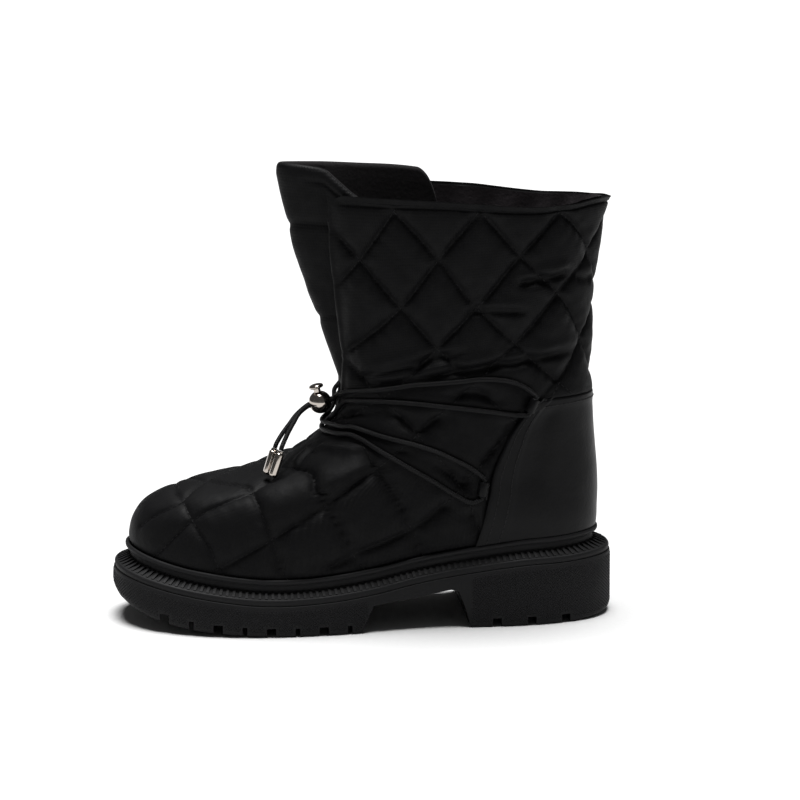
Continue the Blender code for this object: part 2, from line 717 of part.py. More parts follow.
def make_tab(level, side, material):
    middle, down, forwards, out = tab_frame(level, side)
    fold = [(TAB_RADIUS * math.cos(a), TAB_RADIUS * math.sin(a)) for a in np.radians(TAB_FOLD_TURNS)]
    turns = [*TAB_FOLD_TURNS, *TAB_TAIL_TURNS]
    hole = [(TAB_HOLE * math.cos(a), TAB_HOLE * math.sin(a)) for a in np.radians(turns)]
    leather = fold + list(TAB_TAIL)
    loft = Loft()
    loops = []
    for ring, end in ((hole, -1), (leather, -1), (leather, 1), (hole, 1)):
        loops.append(loft.add([middle + forwards * f + out * n + down * end * TAB_HALF for f, n in ring]))
    for one, two in zip(loops, loops[1:] + loops[:1]):
        loft.bridge(one, two)
    side_name = "lateral" if side > 0 else "medial"
    return add_solid(f"tab_{side_name}_{level}", loft.points, loft.faces, material)


def strand(heights, side):
    """Cord that lies on one side of the upper, along a smooth line through its heights."""
    line = path_through([Vector((0, y, z)) for y, z in heights], stride=STRAND_STEP)
    return [upper_point(*on_upper(p.y, p.z, side), CORD_RADIUS + CORD_CLEARANCE) for p in line]


def loop_route(loop, level, side):
    """Cord of one loop, straight where it runs through its tab."""
    middle, down, _, _ = tab_frame(level, side)
    runs = [TAB_HALF + lead for lead in TAB_LEADS]
    inside = [middle + down * d for d in (-runs[1], -runs[0], 0, runs[0], runs[1])]
    return strand(loop["out"], side) + inside + strand(loop["back"], side)


def across(name):
    """Cord that passes over the throat from one side to the other."""
    line = path_through([Vector(place) for place in CROSSINGS[name]], stride=CROSSING_STEP)
    return [upper_point(v, angle, CORD_RADIUS + CORD_CLEARANCE + lift) for v, angle, lift in line]


def lock_axes():
    """Directions of the cord through the lock, from the throat forwards, and of its button, outwards."""
    tilt = math.radians(LOCK_TILT)
    return Vector((0, -math.cos(tilt), -math.sin(tilt))), Vector((0, -math.sin(tilt), math.cos(tilt)))


def in_lock(side, direction):
    """Straight start of a strand, from the middle of the lock to just outside it."""
    start = Vector(LOCK_CENTRE) + Vector((SLOT_HALF * side, 0, 0))
    return [start + direction * d for d in (GAP / 2, LOCK_RADIUS / 2, LOCK_RADIUS)]


def make_drawcord(material):
    forwards, _ = lock_axes()
    lateral_start, medial_start = (in_lock(side, -forwards) for side in (1, -1))
    for start in (lateral_start, medial_start):
        start.append(start[-1] - forwards * CORD_BEHIND_LOCK)
    route = lateral_start + across("from_lock")
    route += loop_route(UPPER_LOOP, "upper", 1) + across("under")
    route += loop_route(LOWER_LOOP, "lower", -1) + across("bar")
    route += loop_route(LOWER_LOOP, "lower", 1)[::-1] + across("over")
    route += loop_route(UPPER_LOOP, "upper", -1)[::-1] + across("to_lock")
    route += medial_start[::-1]
    return add_tube("drawcord", path_through(route), material)


def turned(profile, sides, centre, axis, sideways):
    """Points and faces of a solid turned round an axis, from its profile of radius and height."""
    third = axis.cross(sideways).normalized()
    loft = Loft()
    loops = []
    for radius, height in profile:
        ring = []
        for k in range(sides):
            a = 2 * math.pi * k / sides
            ring.append(centre + axis * height + (sideways * math.cos(a) + third * math.sin(a)) * radius)
        loops.append(loft.add(ring))
    for one, two in zip(loops, loops[1:]):
        loft.bridge(one, two)
    loft.faces.append(tuple(loops[0][::-1]))
    loft.faces.append(tuple(loops[-1]))
    return loft.points, loft.faces


def make_slot_cutter():
    """Slot for the two strands that pass through the lock side by side."""
    forwards, up = lock_axes()
    half_round = np.radians(range(-90, 91, 30))
    rim = [(SLOT_HALF + SLOT_RADIUS * math.cos(a), SLOT_RADIUS * math.sin(a)) for a in half_round]
    rim += [(-x, -z) for x, z in rim]
    loft = Loft()
    loops = []
    for end in (-2 * LOCK_RADIUS, 2 * LOCK_RADIUS):
        middle = Vector(LOCK_CENTRE) + forwards * end
        loops.append(loft.add([middle + Vector((x, 0, 0)) + up * z for x, z in rim]))
    loft.bridge(*loops)
    loft.faces += [tuple(loops[0][::-1]), tuple(loops[1])]
    return add_solid("slot_cutter", loft.points, loft.faces)


def make_lock(metal):
    centre = Vector(LOCK_CENTRE)
    _, up = lock_axes()
    sideways = Vector((1, 0, 0))
    rings = [math.pi * k / LOCK_RINGS for k in range(1, LOCK_RINGS)]
    ball = [(LOCK_RADIUS * math.sin(a), -LOCK_RADIUS * math.cos(a)) for a in rings]
    lock = add_solid("cord_lock_body", *turned(ball, LOCK_SIDES, centre, up, sideways), metal)
    cut(lock, make_slot_cutter())
    bore = [(BORE_RADIUS, BORE_FLOOR), (BORE_RADIUS, 2 * LOCK_RADIUS)]
    cut(lock, add_solid("bore_cutter", *turned(bore, LOCK_SIDES, centre, up, sideways)))
    profile = BUTTON_PROFILE.values()
    button = add_solid("cord_lock_button", *turned(profile, BUTTON_SIDES, Vector(), up, sideways), metal)
    button.location = centre * MM
    return lock, button


def make_ends(cord, metal):
    forwards, _ = lock_axes()
    for name, side in (("near", 1), ("far", -1)):
        route = in_lock(side, forwards) + [Vector(p) for p in END_ROUTES[name]]
        path = path_through(route, END_BEND, END_STRIDE)
        add_tube(f"cord_end_{name}", path, cord)
        axis = (path[-1] - path[-2]).normalized()
        tip = turned(TIP_PROFILE.values(), TIP_SIDES, path[-1], axis, axis.orthogonal().normalized())
        add_solid(f"cord_tip_{name}", *tip, metal)


def main():
    for thing in list(bpy.data.objects):
        bpy.data.objects.remove(thing)
    nylon = paint("quilted_nylon", (0.008, 0.008, 0.009), 0.55)
    leather = paint("black_leather", (0.010, 0.010, 0.011), 0.38)
    rubber = paint("black_rubber", (0.013, 0.013, 0.014), 0.6)
    felt = paint("black_felt", (0.012, 0.012, 0.012), 0.9)
    elastic = paint("elastic_cord", (0.009, 0.009, 0.010), 0.6)
    nickel = paint("polished_nickel", (0.70, 0.67, 0.64), 0.15, 1.0)
    make_outsole(rubber)
    make_midsole(rubber)
    make_insole(felt)
    make_upper(nylon)
    make_counter(leather)
    make_tongue(nylon)
    for side in (1, -1):
        for level in TABS:
            make_tab(level, side, leather)
    make_drawcord(elastic)
    make_lock(nickel)
    make_ends(elastic, nickel)


main()
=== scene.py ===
import math

import bmesh
import bpy
import numpy as np
from mathutils import Matrix, Vector, noise
from mathutils.kdtree import KDTree


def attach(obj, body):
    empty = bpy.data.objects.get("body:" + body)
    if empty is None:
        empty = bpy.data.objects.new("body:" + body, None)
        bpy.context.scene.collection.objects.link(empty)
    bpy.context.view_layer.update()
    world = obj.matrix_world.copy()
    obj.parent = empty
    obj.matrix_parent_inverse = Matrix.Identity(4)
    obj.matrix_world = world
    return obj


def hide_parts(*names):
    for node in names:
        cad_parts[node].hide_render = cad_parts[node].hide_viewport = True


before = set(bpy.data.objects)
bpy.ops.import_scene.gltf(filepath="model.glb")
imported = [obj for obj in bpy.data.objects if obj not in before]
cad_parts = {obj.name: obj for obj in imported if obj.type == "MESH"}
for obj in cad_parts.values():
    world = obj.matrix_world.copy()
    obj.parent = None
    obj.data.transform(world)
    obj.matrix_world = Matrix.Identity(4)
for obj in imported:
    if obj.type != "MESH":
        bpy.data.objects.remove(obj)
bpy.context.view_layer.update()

mm = 0.001


# Helpers for nodes, meshes and paths. Places are worked out in millimetres and turned to metres in newPiece.

def linear(hexColour):
    parts = [int(hexColour[i:i + 2], 16) / 255 for i in (1, 3, 5)]
    return tuple(c / 12.92 if c <= 0.04045 else ((c + 0.055) / 1.055) ** 2.4 for c in parts) + (1.0,)


def setInputs(node, inputs):  # an output is linked, any other value is set
    for socket, value in inputs.items():
        if isinstance(value, bpy.types.NodeSocket):
            node.id_data.links.new(value, node.inputs[socket])
        else:
            node.inputs[socket].default_value = value


def addNode(tree, kind, inputs=None, **settings):
    node = tree.nodes.new(kind)
    for name, value in settings.items():
        setattr(node, name, value)
    setInputs(node, inputs or {})
    return node


def unit(vectors):
    return vectors / np.maximum(np.linalg.norm(vectors, axis=-1, keepdims=True), 1e-9)


def bell(x, half):  # soft bump, 1 at 0
    return np.exp(-((x / half) ** 2))


def ease(low, high, x):  # soft step from 0 at low to 1 at high
    t = np.clip((np.asarray(x, float) - low) / (high - low), 0, 1)
    return t * t * (3 - 2 * t)


def curveThrough(xs, ys, x):  # smooth curve through a table's points, straight beyond its ends
    xs, ys, x = (np.asarray(values, float) for values in (xs, ys, x))
    ends = len(xs) - 1
    before, after = np.clip(np.arange(-1, ends), 0, ends), np.clip(np.arange(1, ends + 2), 0, ends)
    slopes = (ys[after] - ys[before]) / (xs[after] - xs[before])
    inside = np.clip(x, xs[0], xs[-1])
    i = np.clip(np.searchsorted(xs, inside, "right") - 1, 0, ends - 1)
    span = xs[i + 1] - xs[i]
    t = (inside - xs[i]) / span
    value = ys[i] * (1 + 2 * t) * (1 - t) ** 2 + slopes[i] * span * t * (1 - t) ** 2
    value = value + ys[i + 1] * t * t * (3 - 2 * t) + slopes[i + 1] * span * t * t * (t - 1)
    return value + np.where(x > inside, slopes[-1], slopes[0]) * (x - inside)


def pathThrough(points, bend=8.0, stride=1.2):  # smooth path through a route's own points
    points = [np.asarray(p, float) for p in points]
    knots = [2 * points[0] - points[1], *points, 2 * points[-1] - points[-2]]
    path = [points[0]]
    for a, b, c, d in zip(knots, knots[1:], knots[2:], knots[3:]):
        span = np.linalg.norm(c - b)
        start, end = unit(c - a) * span, unit(d - b) * span
        turned = math.degrees(math.acos(np.clip(start @ end / span**2, -1, 1)))
        steps = max(1, math.ceil(turned / bend), math.ceil(span / stride))
        for t in np.arange(1, steps + 1) / steps:
            path.append(
                b * (1 + 2 * t) * (1 - t) ** 2 + start * t * (1 - t) ** 2
                + c * t * t * (3 - 2 * t) + end * t * t * (t - 1)
            )
    return np.array(path)


def runAlong(path):  # distance from the start of a path to each of its points
    return np.concatenate(([0], np.cumsum(np.linalg.norm(np.diff(path, axis=0), axis=1))))


def newPiece(name, points, faces, materials, uv=None, faceMaterials=None, sharp=40, weld=0.004):
    mesh = bpy.data.meshes.new(name)
    mesh.from_pydata((np.asarray(points, float) * mm).tolist(), [], faces)
    if uv is not None:
        corners = np.empty(len(mesh.loops), np.int32)
        mesh.loops.foreach_get("vertex_index", corners)
        mesh.uv_layers.new(name="lay").data.foreach_set("uv", np.asarray(uv, np.float32)[corners].ravel())
    for material in materials:
        mesh.materials.append(material)
    if faceMaterials is not None:
        mesh.polygons.foreach_set("material_index", np.asarray(faceMaterials, np.int32))
    work = bmesh.new()
    work.from_mesh(mesh)
    bmesh.ops.remove_doubles(work, verts=work.verts, dist=weld * mm)
    bmesh.ops.dissolve_degenerate(work, edges=work.edges, dist=weld * mm / 4)
    bmesh.ops.recalc_face_normals(work, faces=work.faces)
    work.to_mesh(mesh)
    work.free()
    mesh.shade_smooth()
    mesh.set_sharp_from_angle(angle=math.radians(sharp))
    piece = bpy.data.objects.new(name, mesh)
    bpy.context.scene.collection.objects.link(piece)
    return piece


def gridFaces(first, rows, columns, turned=False):
    faces = []
    for r in range(rows - 1):
        for c in range(columns - 1):
            a = first + r * columns + c
            face = (a, a + 1, a + columns + 1, a + columns)
            faces.append(face[::-1] if turned else face)
    return faces


def ringFaces(rings, count):  # quads between closed rings of points
    faces = []
    for r in range(rings - 1):
        for k in range(count):
            after = (k + 1) % count
            faces.append((r * count + k, r * count + after, (r + 1) * count + after, (r + 1) * count + k))
    return faces


def zipFaces(one, two):  # strip of triangles between two open runs of points
    faces = []
    i = j = 0
    while i < len(one) - 1 or j < len(two) - 1:
        if j == len(two) - 1 or (i < len(one) - 1 and (i + 1) * (len(two) - 1) <= (j + 1) * (len(one) - 1)):
            faces.append((one[i], one[i + 1], two[j]))
            i += 1
        else:
            faces.append((one[i], two[j + 1], two[j]))
            j += 1
    return faces


def applyModifiers(piece):  # turn what the modifiers give into a plain mesh
    evaluated = piece.evaluated_get(bpy.context.evaluated_depsgraph_get())
    mesh = bpy.data.meshes.new_from_object(evaluated)
    piece.modifiers.clear()
    piece.data = mesh
    return piece


def cut(piece, cutter):
    modifier = piece.modifiers.new(cutter.name, "BOOLEAN")
    modifier.operation = "DIFFERENCE"
    modifier.solver = "EXACT"
    modifier.object = cutter
    applyModifiers(piece)
    bpy.data.objects.remove(cutter)


def soften(piece, width, segments=2, angle=40):
    modifier = piece.modifiers.new("soften", "BEVEL")
    modifier.width = width * mm
    modifier.segments = segments
    modifier.limit_method = "ANGLE"
    modifier.angle_limit = math.radians(angle)
    applyModifiers(piece)
    piece.data.shade_smooth()
    piece.data.set_sharp_from_angle(angle=math.radians(angle))


def settle(piece, slotName, body="boot", *nodes):
    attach(piece, body)
    if nodes:
        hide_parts(*nodes)


# Camera at the photograph's angle

cameraSet = {
    "azimuth": 84.37, "elevation": 11.25, "distance": 1814.1, "roll": 0.3175,
    "target": (0.0, 20.7, 122.7), "focalPixels": 3208.6, "photoWidth": 800, "sensor": 36,
}


def addCamera():
    a, e, r = (math.radians(cameraSet[name]) for name in ("azimuth", "elevation", "roll"))
    back = Vector((math.sin(a) * math.cos(e), -math.cos(a) * math.cos(e), math.sin(e)))
    right = Vector((math.cos(a), math.sin(a), 0))
    up = back.cross(right)
    right, up = right * math.cos(r) + up * math.sin(r), up * math.cos(r) - right * math.sin(r)
    data = bpy.data.cameras.new("photoView")
    data.sensor_width = cameraSet["sensor"]
    data.lens = cameraSet["focalPixels"] / cameraSet["photoWidth"] * cameraSet["sensor"]
    camera = bpy.data.objects.new("photoView", data)
    place = Matrix((right, up, back)).transposed().to_4x4()
    place.translation = (Vector(cameraSet["target"]) + back * cameraSet["distance"]) * mm
    camera.matrix_world = place
    bpy.context.scene.collection.objects.link(camera)
    bpy.context.scene.camera = camera


addCamera()
print("camera set")


# The last that the soft pieces are laid on, with the sizes of the solids. Sections run from the bed of the
# sole up to the collar: ends in the middle plane, half widths, widest place, squareness, arch, dip and
# open front.

last = {
    "lipY": (-132, -115, -95, -60, -30, 0, 25, 50, 85, 110, 131),
    "lipZ": (43.5, 39.3, 35.7, 31.9, 32.3, 35.6, 40.3, 44.2, 48.5, 49.2, 50.4),
    "columns": (
        "frontY", "frontZ", "backY", "backZ", "lateral", "medial", "widestY",
        "frontN", "backN", "waist", "dip", "slit",
    ),
    "sections": (
        (-131.5, 40.8, 131.0, 47.7, 47.5, 46.5, -46, 2.25, 2.35, 0.20, 1.00, 0),  # bed
        (-132.5, 47.5, 131.8, 54.2, 49.5, 48.0, -46, 2.25, 2.35, 0.18, 0.95, 0),  # welt
        (-130.0, 58.0, 132.0, 62.0, 50.5, 49.0, -44, 2.20, 2.35, 0.15, 0.80, 0),  # toe wall
        (-122.5, 68.5, 132.2, 72.0, 50.0, 48.5, -42, 2.15, 2.30, 0.12, 0.62, 0),  # toe turn
        (-106.0, 77.2, 131.6, 84.0, 48.5, 47.0, -37, 2.10, 2.30, 0.10, 0.42, 0),  # toe crown
        (-82.0, 81.8, 130.4, 97.0, 47.0, 45.5, -26, 2.05, 2.30, 0.08, 0.24, 0),  # vamp
        (-60.0, 86.0, 129.2, 110.0, 45.5, 44.0, -8, 2.00, 2.25, 0.06, 0.12, 0),  # ball
        (-40.0, 92.5, 128.4, 124.0, 43.5, 42.5, 12, 2.00, 2.20, 0.04, 0.05, 0),  # waist
        (-24.0, 104.0, 128.0, 138.0, 42.0, 41.0, 28, 2.00, 2.20, 0.02, 0.00, 0),  # instep
        (-15.0, 117.0, 128.0, 150.0, 41.0, 40.0, 38, 2.00, 2.20, 0.00, 0.00, 0),  # throat
        (-14.0, 131.0, 128.3, 163.0, 40.5, 40.0, 46, 2.00, 2.20, 0.00, 0.00, 13),  # ankle
        (-17.0, 153.0, 129.0, 180.0, 41.0, 40.5, 50, 2.00, 2.20, 0.00, 0.00, 20),  # low shaft
        (-23.0, 180.0, 130.2, 198.5, 41.5, 41.0, 52, 2.00, 2.20, 0.00, 0.00, 26),  # middle shaft
        (-31.0, 210.0, 132.8, 219.0, 42.0, 41.5, 54, 2.00, 2.20, 0.00, 0.00, 31),  # high shaft
        (-38.0, 245.0, 137.0, 237.5, 42.5, 42.0, 56, 2.00, 2.20, 0.00, 0.00, 35),  # collar
    ),
    "throat": 9, "collar": 14, "wall": 4.0, "slopeV": 0.02, "slopeAngle": 0.5,
    "centreX": -0.35, "ballY": -46.0, "toeY": -142.0, "toeSwing": 5.0, "waistY": 38.0, "waistSpread": 52.0,
}
sectionTable = dict(zip(last["columns"], np.array(last["sections"]).T))
sectionRows = np.arange(len(last["sections"]))


def lipHeight(y):
    return curveThrough(last["lipY"], last["lipZ"], y)


def slitAngle(v):
    v = np.asarray(v, float)
    slit = np.maximum(0, curveThrough(sectionRows, sectionTable["slit"], v))
    return np.where(v > last["throat"], slit, 0.0)


def onLast(v, angle):  # outer face at a section and an angle from the front, lateral positive
    v, angle = np.broadcast_arrays(np.asarray(v, float), np.asarray(angle, float))
    angle = (angle + 180) % 360 - 180
    s = {name: curveThrough(sectionRows, column, v) for name, column in sectionTable.items()}
    turn = np.radians(np.abs(angle))
    fore = turn < np.pi / 2
    power = 2 / np.where(fore, s["frontN"], s["backN"])
    reach = np.where(fore, s["frontY"], s["backY"]) - s["widestY"]
    y = s["widestY"] + reach * np.abs(np.cos(turn)) ** power
    x = np.where(angle >= 0, s["lateral"], s["medial"]) * np.abs(np.sin(turn)) ** power
    x = x * (1 - s["waist"] * bell(y - last["waistY"], last["waistSpread"]))
    share = (y - s["frontY"]) / (s["backY"] - s["frontY"])
    first, end = last["lipY"][0], last["lipY"][-1]
    chord = lipHeight(first) + (lipHeight(end) - lipHeight(first)) * (y - first) / (end - first)
    z = s["frontZ"] + (s["backZ"] - s["frontZ"]) * share + s["dip"] * (lipHeight(y) - chord)
    toeward = np.maximum(0, (last["ballY"] - y) / (last["ballY"] - last["toeY"]))
    return np.stack((np.copysign(x, angle) - last["toeSwing"] * toeward**2 + last["centreX"], y, z), -1)


def outOfLast(v, angle):
    v, angle = np.asarray(v, float), np.asarray(angle, float)
    along = onLast(v, angle + last["slopeAngle"]) - onLast(v, angle - last["slopeAngle"])
    up = onLast(v + last["slopeV"], angle) - onLast(v - last["slopeV"], angle)
    return unit(np.cross(along, up))


def offLast(v, angle, out):
    return onLast(v, angle) + outOfLast(v, angle) * np.asarray(out, float)[..., None]


def sideView(v, angle):  # length along the foot and height, as seen from the side
    return onLast(v, angle)[..., 1:]


def wrapView(v, angle):  # the same, unrolled round the back, with the heel's middle at a fixed length
    turned = np.abs(np.asarray(angle, float))
    start = quilt["unrollFrom"]
    flat = onLast(v, np.minimum(turned, start))[..., 1]
    past = np.maximum(0, (turned - start) / (180 - start))
    return np.stack((flat + (quilt["heelMiddle"] - flat) * past, onLast(v, angle)[..., 2]), -1)


finder = {  # grid of first guesses, small moves that give the slopes, longest steps and limits
    "rows": np.arange(0, 14.1, 0.5), "angles": np.arange(6, 180, 6.0), "rounds": 14, "smallest": 1e-6,
    "nudgeV": 0.01, "nudgeAngle": 0.1, "stepV": 1.0, "stepAngle": 10.0,
    "limitV": (-0.5, 14.6), "limitAngle": (0.5, 180),
}


def findOnLast(places, side, view=sideView):  # section and angle of points given in one of the two views
    places = np.atleast_2d(np.asarray(places, float))
    guessV, guessAngle = (guess.ravel() for guess in np.meshgrid(finder["rows"], finder["angles"]))
    seen = view(guessV, guessAngle * side)
    nearest = np.argmin(np.linalg.norm(places[:, None] - seen[None], axis=-1), axis=1)
    v, angle = guessV[nearest], guessAngle[nearest]
    nudgeV, nudgeAngle = finder["nudgeV"], finder["nudgeAngle"]
    for _ in range(finder["rounds"]):
        miss = view(v, angle * side) - places
        byV = (view(v + nudgeV, angle * side) - places - miss) / nudgeV
        byAngle = (view(v, (angle + nudgeAngle) * side) - places - miss) / nudgeAngle
        det = byV[:, 0] * byAngle[:, 1] - byV[:, 1] * byAngle[:, 0]
        det = np.where(np.abs(det) < finder["smallest"], finder["smallest"], det)
        stepV = (miss[:, 0] * byAngle[:, 1] - miss[:, 1] * byAngle[:, 0]) / det
        stepAngle = (byV[:, 0] * miss[:, 1] - byV[:, 1] * miss[:, 0]) / det
        v = np.clip(v - np.clip(stepV, -finder["stepV"], finder["stepV"]), *finder["limitV"])
        stepAngle = np.clip(stepAngle, -finder["stepAngle"], finder["stepAngle"])
        angle = np.clip(angle - stepAngle, *finder["limitAngle"])
    return v, angle * side


# Materials

def newMaterial(name):
    material = bpy.data.materials.new(name)
    material.use_nodes = True
    tree = material.node_tree
    return material, tree, tree.nodes["Principled BSDF"]


def nylonTaffeta():  # woven nylon shell: near black, soft gloss on the crowns, faint threads and dye drift
    material, tree, shader = newMaterial("nylon_taffeta")
    threadWidth = 1.1  # real threads of about 0.25 mm are too fine to show, so they are drawn coarser
    lay = addNode(tree, "ShaderNodeUVMap", uv_map="lay")
    place = addNode(tree, "ShaderNodeTexCoord")
    waves = []
    for direction in ("X", "Y"):
        waves.append(addNode(tree, "ShaderNodeTexWave", {
            "Vector": lay.outputs["UV"], "Scale": math.pi / 10 / threadWidth,
            "Distortion": 0.6, "Detail": 1.0,
        }, wave_type="BANDS", bands_direction=direction))
    weave = addNode(tree, "ShaderNodeMath", {
        0: waves[0].outputs["Fac"], 1: waves[1].outputs["Fac"],
    }, operation="MULTIPLY")
    crumple = addNode(tree, "ShaderNodeTexNoise", {
        "Vector": place.outputs["Object"], "Scale": 1 / (9 * mm), "Detail": 5.0, "Roughness": 0.6,
    })
    drift = addNode(tree, "ShaderNodeTexNoise", {
        "Vector": place.outputs["Object"], "Scale": 1 / (45 * mm), "Detail": 3.0,
    })
    colour = addNode(tree, "ShaderNodeMix", {
        "Factor": drift.outputs["Fac"], 6: linear("#050506"), 7: linear("#09090a"),
    }, data_type="RGBA")
    gloss = addNode(tree, "ShaderNodeMapRange", {
        "Value": crumple.outputs["Fac"], "From Min": 0.3, "From Max": 0.7, "To Min": 0.5, "To Max": 0.66,
    })
    fine = addNode(tree, "ShaderNodeBump", {
        "Height": weave.outputs[0], "Strength": 0.35, "Distance": 0.25 * mm,
    })
    coarse = addNode(tree, "ShaderNodeBump", {
        "Height": crumple.outputs["Fac"], "Strength": 0.45, "Distance": 1.2 * mm,
        "Normal": fine.outputs["Normal"],
    })
    setInputs(shader, {
        "Base Color": colour.outputs[2], "Roughness": gloss.outputs["Result"],
        "Normal": coarse.outputs["Normal"], "IOR": 1.5, "Specular IOR Level": 0.1,
    })
    return material


def brushedFleece(name, low, high):  # napped knit lining: matt, slightly warm dark grey with a soft halo
    material, tree, shader = newMaterial(name)
    place = addNode(tree, "ShaderNodeTexCoord")
    nap = addNode(tree, "ShaderNodeTexNoise", {
        "Vector": place.outputs["Object"], "Scale": 1 / (2.2 * mm), "Detail": 6.0, "Roughness": 0.7,
    })
    colour = addNode(tree, "ShaderNodeMix", {
        "Factor": nap.outputs["Fac"], 6: linear(low), 7: linear(high),
    }, data_type="RGBA")
    bump = addNode(tree, "ShaderNodeBump", {
        "Height": nap.outputs["Fac"], "Strength": 0.7, "Distance": 0.8 * mm,
    })
    setInputs(shader, {
        "Base Color": colour.outputs[2], "Normal": bump.outputs["Normal"],
        "Roughness": 0.95, "Specular IOR Level": 0.08, "Sheen Weight": 0.04, "Sheen Roughness": 0.6,
    })
    return material


def pressedFelt():  # pressed felt insole: matt with a matted fibre grain
    material, tree, shader = newMaterial("pressed_felt")
    place = addNode(tree, "ShaderNodeTexCoord")
    fibre = addNode(tree, "ShaderNodeTexNoise", {
        "Vector": place.outputs["Object"], "Scale": 1 / (1.4 * mm), "Detail": 8.0, "Distortion": 1.5,
    })
    colour = addNode(tree, "ShaderNodeMix", {
        "Factor": fibre.outputs["Fac"], 6: linear("#161616"), 7: linear("#2a2a2b"),
    }, data_type="RGBA")
    bump = addNode(tree, "ShaderNodeBump", {
        "Height": fibre.outputs["Fac"], "Strength": 0.6, "Distance": 0.4 * mm,
    })
    setInputs(shader, {
        "Base Color": colour.outputs[2], "Normal": bump.outputs["Normal"],
        "Roughness": 1.0, "Specular IOR Level": 0.1,
    })
    return material


def coatedLeather():  # finished calf: smooth black coat with a fine pebble and a soft gloss
    material, tree, shader = newMaterial("coated_leather")
    place = addNode(tree, "ShaderNodeTexCoord")
    pebble = addNode(tree, "ShaderNodeTexVoronoi", {
        "Vector": place.outputs["Object"], "Scale": 1 / (1.3 * mm), "Randomness": 0.9,
    }, feature="SMOOTH_F1")
    wear = addNode(tree, "ShaderNodeTexNoise", {
        "Vector": place.outputs["Object"], "Scale": 1 / (16 * mm), "Detail": 6.0, "Roughness": 0.6,
    })
    colour = addNode(tree, "ShaderNodeMix", {
        "Factor": wear.outputs["Fac"], 6: linear("#060607"), 7: linear("#0b0b0c"),
    }, data_type="RGBA")
    gloss = addNode(tree, "ShaderNodeMapRange", {
        "Value": wear.outputs["Fac"], "From Min": 0.3, "From Max": 0.7, "To Min": 0.34, "To Max": 0.47,
    })
    fine = addNode(tree, "ShaderNodeBump", {
        "Height": pebble.outputs["Distance"], "Strength": 0.18, "Distance": 0.3 * mm,
    })
    broad = addNode(tree, "ShaderNodeBump", {
        "Height": wear.outputs["Fac"], "Strength": 0.25, "Distance": 1.5 * mm,
        "Normal": fine.outputs["Normal"],
    })
    setInputs(shader, {
        "Base Color": colour.outputs[2], "Roughness": gloss.outputs["Result"],
        "Normal": broad.outputs["Normal"], "IOR": 1.5, "Specular IOR Level": 0.11,
    })
    return material


def mouldedRubber():  # vulcanised rubber from a blasted mould: dull black, dusty grain
    material, tree, shader = newMaterial("moulded_rubber")
    place = addNode(tree, "ShaderNodeTexCoord")
    grain = addNode(tree, "ShaderNodeTexNoise", {
        "Vector": place.outputs["Object"], "Scale": 1 / (0.9 * mm), "Detail": 4.0, "Roughness": 0.65,
    })
    dust = addNode(tree, "ShaderNodeTexNoise", {
        "Vector": place.outputs["Object"], "Scale": 1 / (22 * mm), "Detail": 5.0, "Roughness": 0.6,
    })
    colour = addNode(tree, "ShaderNodeMix", {
        "Factor": dust.outputs["Fac"], 6: linear("#101011"), 7: linear("#1a1a1b"),
    }, data_type="RGBA")
    gloss = addNode(tree, "ShaderNodeMapRange", {
        "Value": dust.outputs["Fac"], "From Min": 0.3, "From Max": 0.7, "To Min": 0.5, "To Max": 0.68,
    })
    bump = addNode(tree, "ShaderNodeBump", {
        "Height": grain.outputs["Fac"], "Strength": 0.3, "Distance": 0.25 * mm,
    })
    setInputs(shader, {
        "Base Color": colour.outputs[2], "Roughness": gloss.outputs["Result"],
        "Normal": bump.outputs["Normal"], "IOR": 1.52, "Specular IOR Level": 0.14,
    })
    return material


def braidedElastic():  # polyester braid over rubber: slanted bundles that cross round the cord
    material, tree, shader = newMaterial("braided_elastic")
    bundle = 1.1
    slant = 35
    lay = addNode(tree, "ShaderNodeUVMap", uv_map="lay")
    slants = []
    for angle in (slant, -slant):
        turned = addNode(tree, "ShaderNodeMapping", {
            "Vector": lay.outputs["UV"], "Rotation": (0, 0, math.radians(angle)),
        })
        slants.append(addNode(tree, "ShaderNodeTexWave", {
            "Vector": turned.outputs["Vector"], "Scale": math.pi / 10 / bundle,
        }, wave_type="BANDS", bands_direction="Y"))
    braid = addNode(tree, "ShaderNodeMath", {
        0: slants[0].outputs["Fac"], 1: slants[1].outputs["Fac"],
    }, operation="MAXIMUM")
    colour = addNode(tree, "ShaderNodeMix", {
        "Factor": braid.outputs[0], 6: linear("#040405"), 7: linear("#0c0c0d"),
    }, data_type="RGBA")
    bump = addNode(tree, "ShaderNodeBump", {
        "Height": braid.outputs[0], "Strength": 0.8, "Distance": 0.35 * mm,
    })
    setInputs(shader, {
        "Base Color": colour.outputs[2], "Normal": bump.outputs["Normal"],
        "Roughness": 0.45, "Specular IOR Level": 0.16,
    })
    return material


def polishedNickel():  # nickel plate on brass: mirror bright with faint handling haze
    material, tree, shader = newMaterial("polished_nickel")
    place = addNode(tree, "ShaderNodeTexCoord")
    haze = addNode(tree, "ShaderNodeTexNoise", {
        "Vector": place.outputs["Object"], "Scale": 1 / (1.8 * mm), "Detail": 5.0, "Roughness": 0.7,
    })
    gloss = addNode(tree, "ShaderNodeMapRange", {
        "Value": haze.outputs["Fac"], "From Min": 0.3, "From Max": 0.7, "To Min": 0.08, "To Max": 0.2,
    })
    colour = addNode(tree, "ShaderNodeMix", {
        "Factor": haze.outputs["Fac"], 6: linear("#aea69e"), 7: linear("#c0b8b0"),
    }, data_type="RGBA")
    setInputs(shader, {
        "Base Color": colour.outputs[2], "Roughness": gloss.outputs["Result"],
        "Metallic": 1.0,
    })
    return material


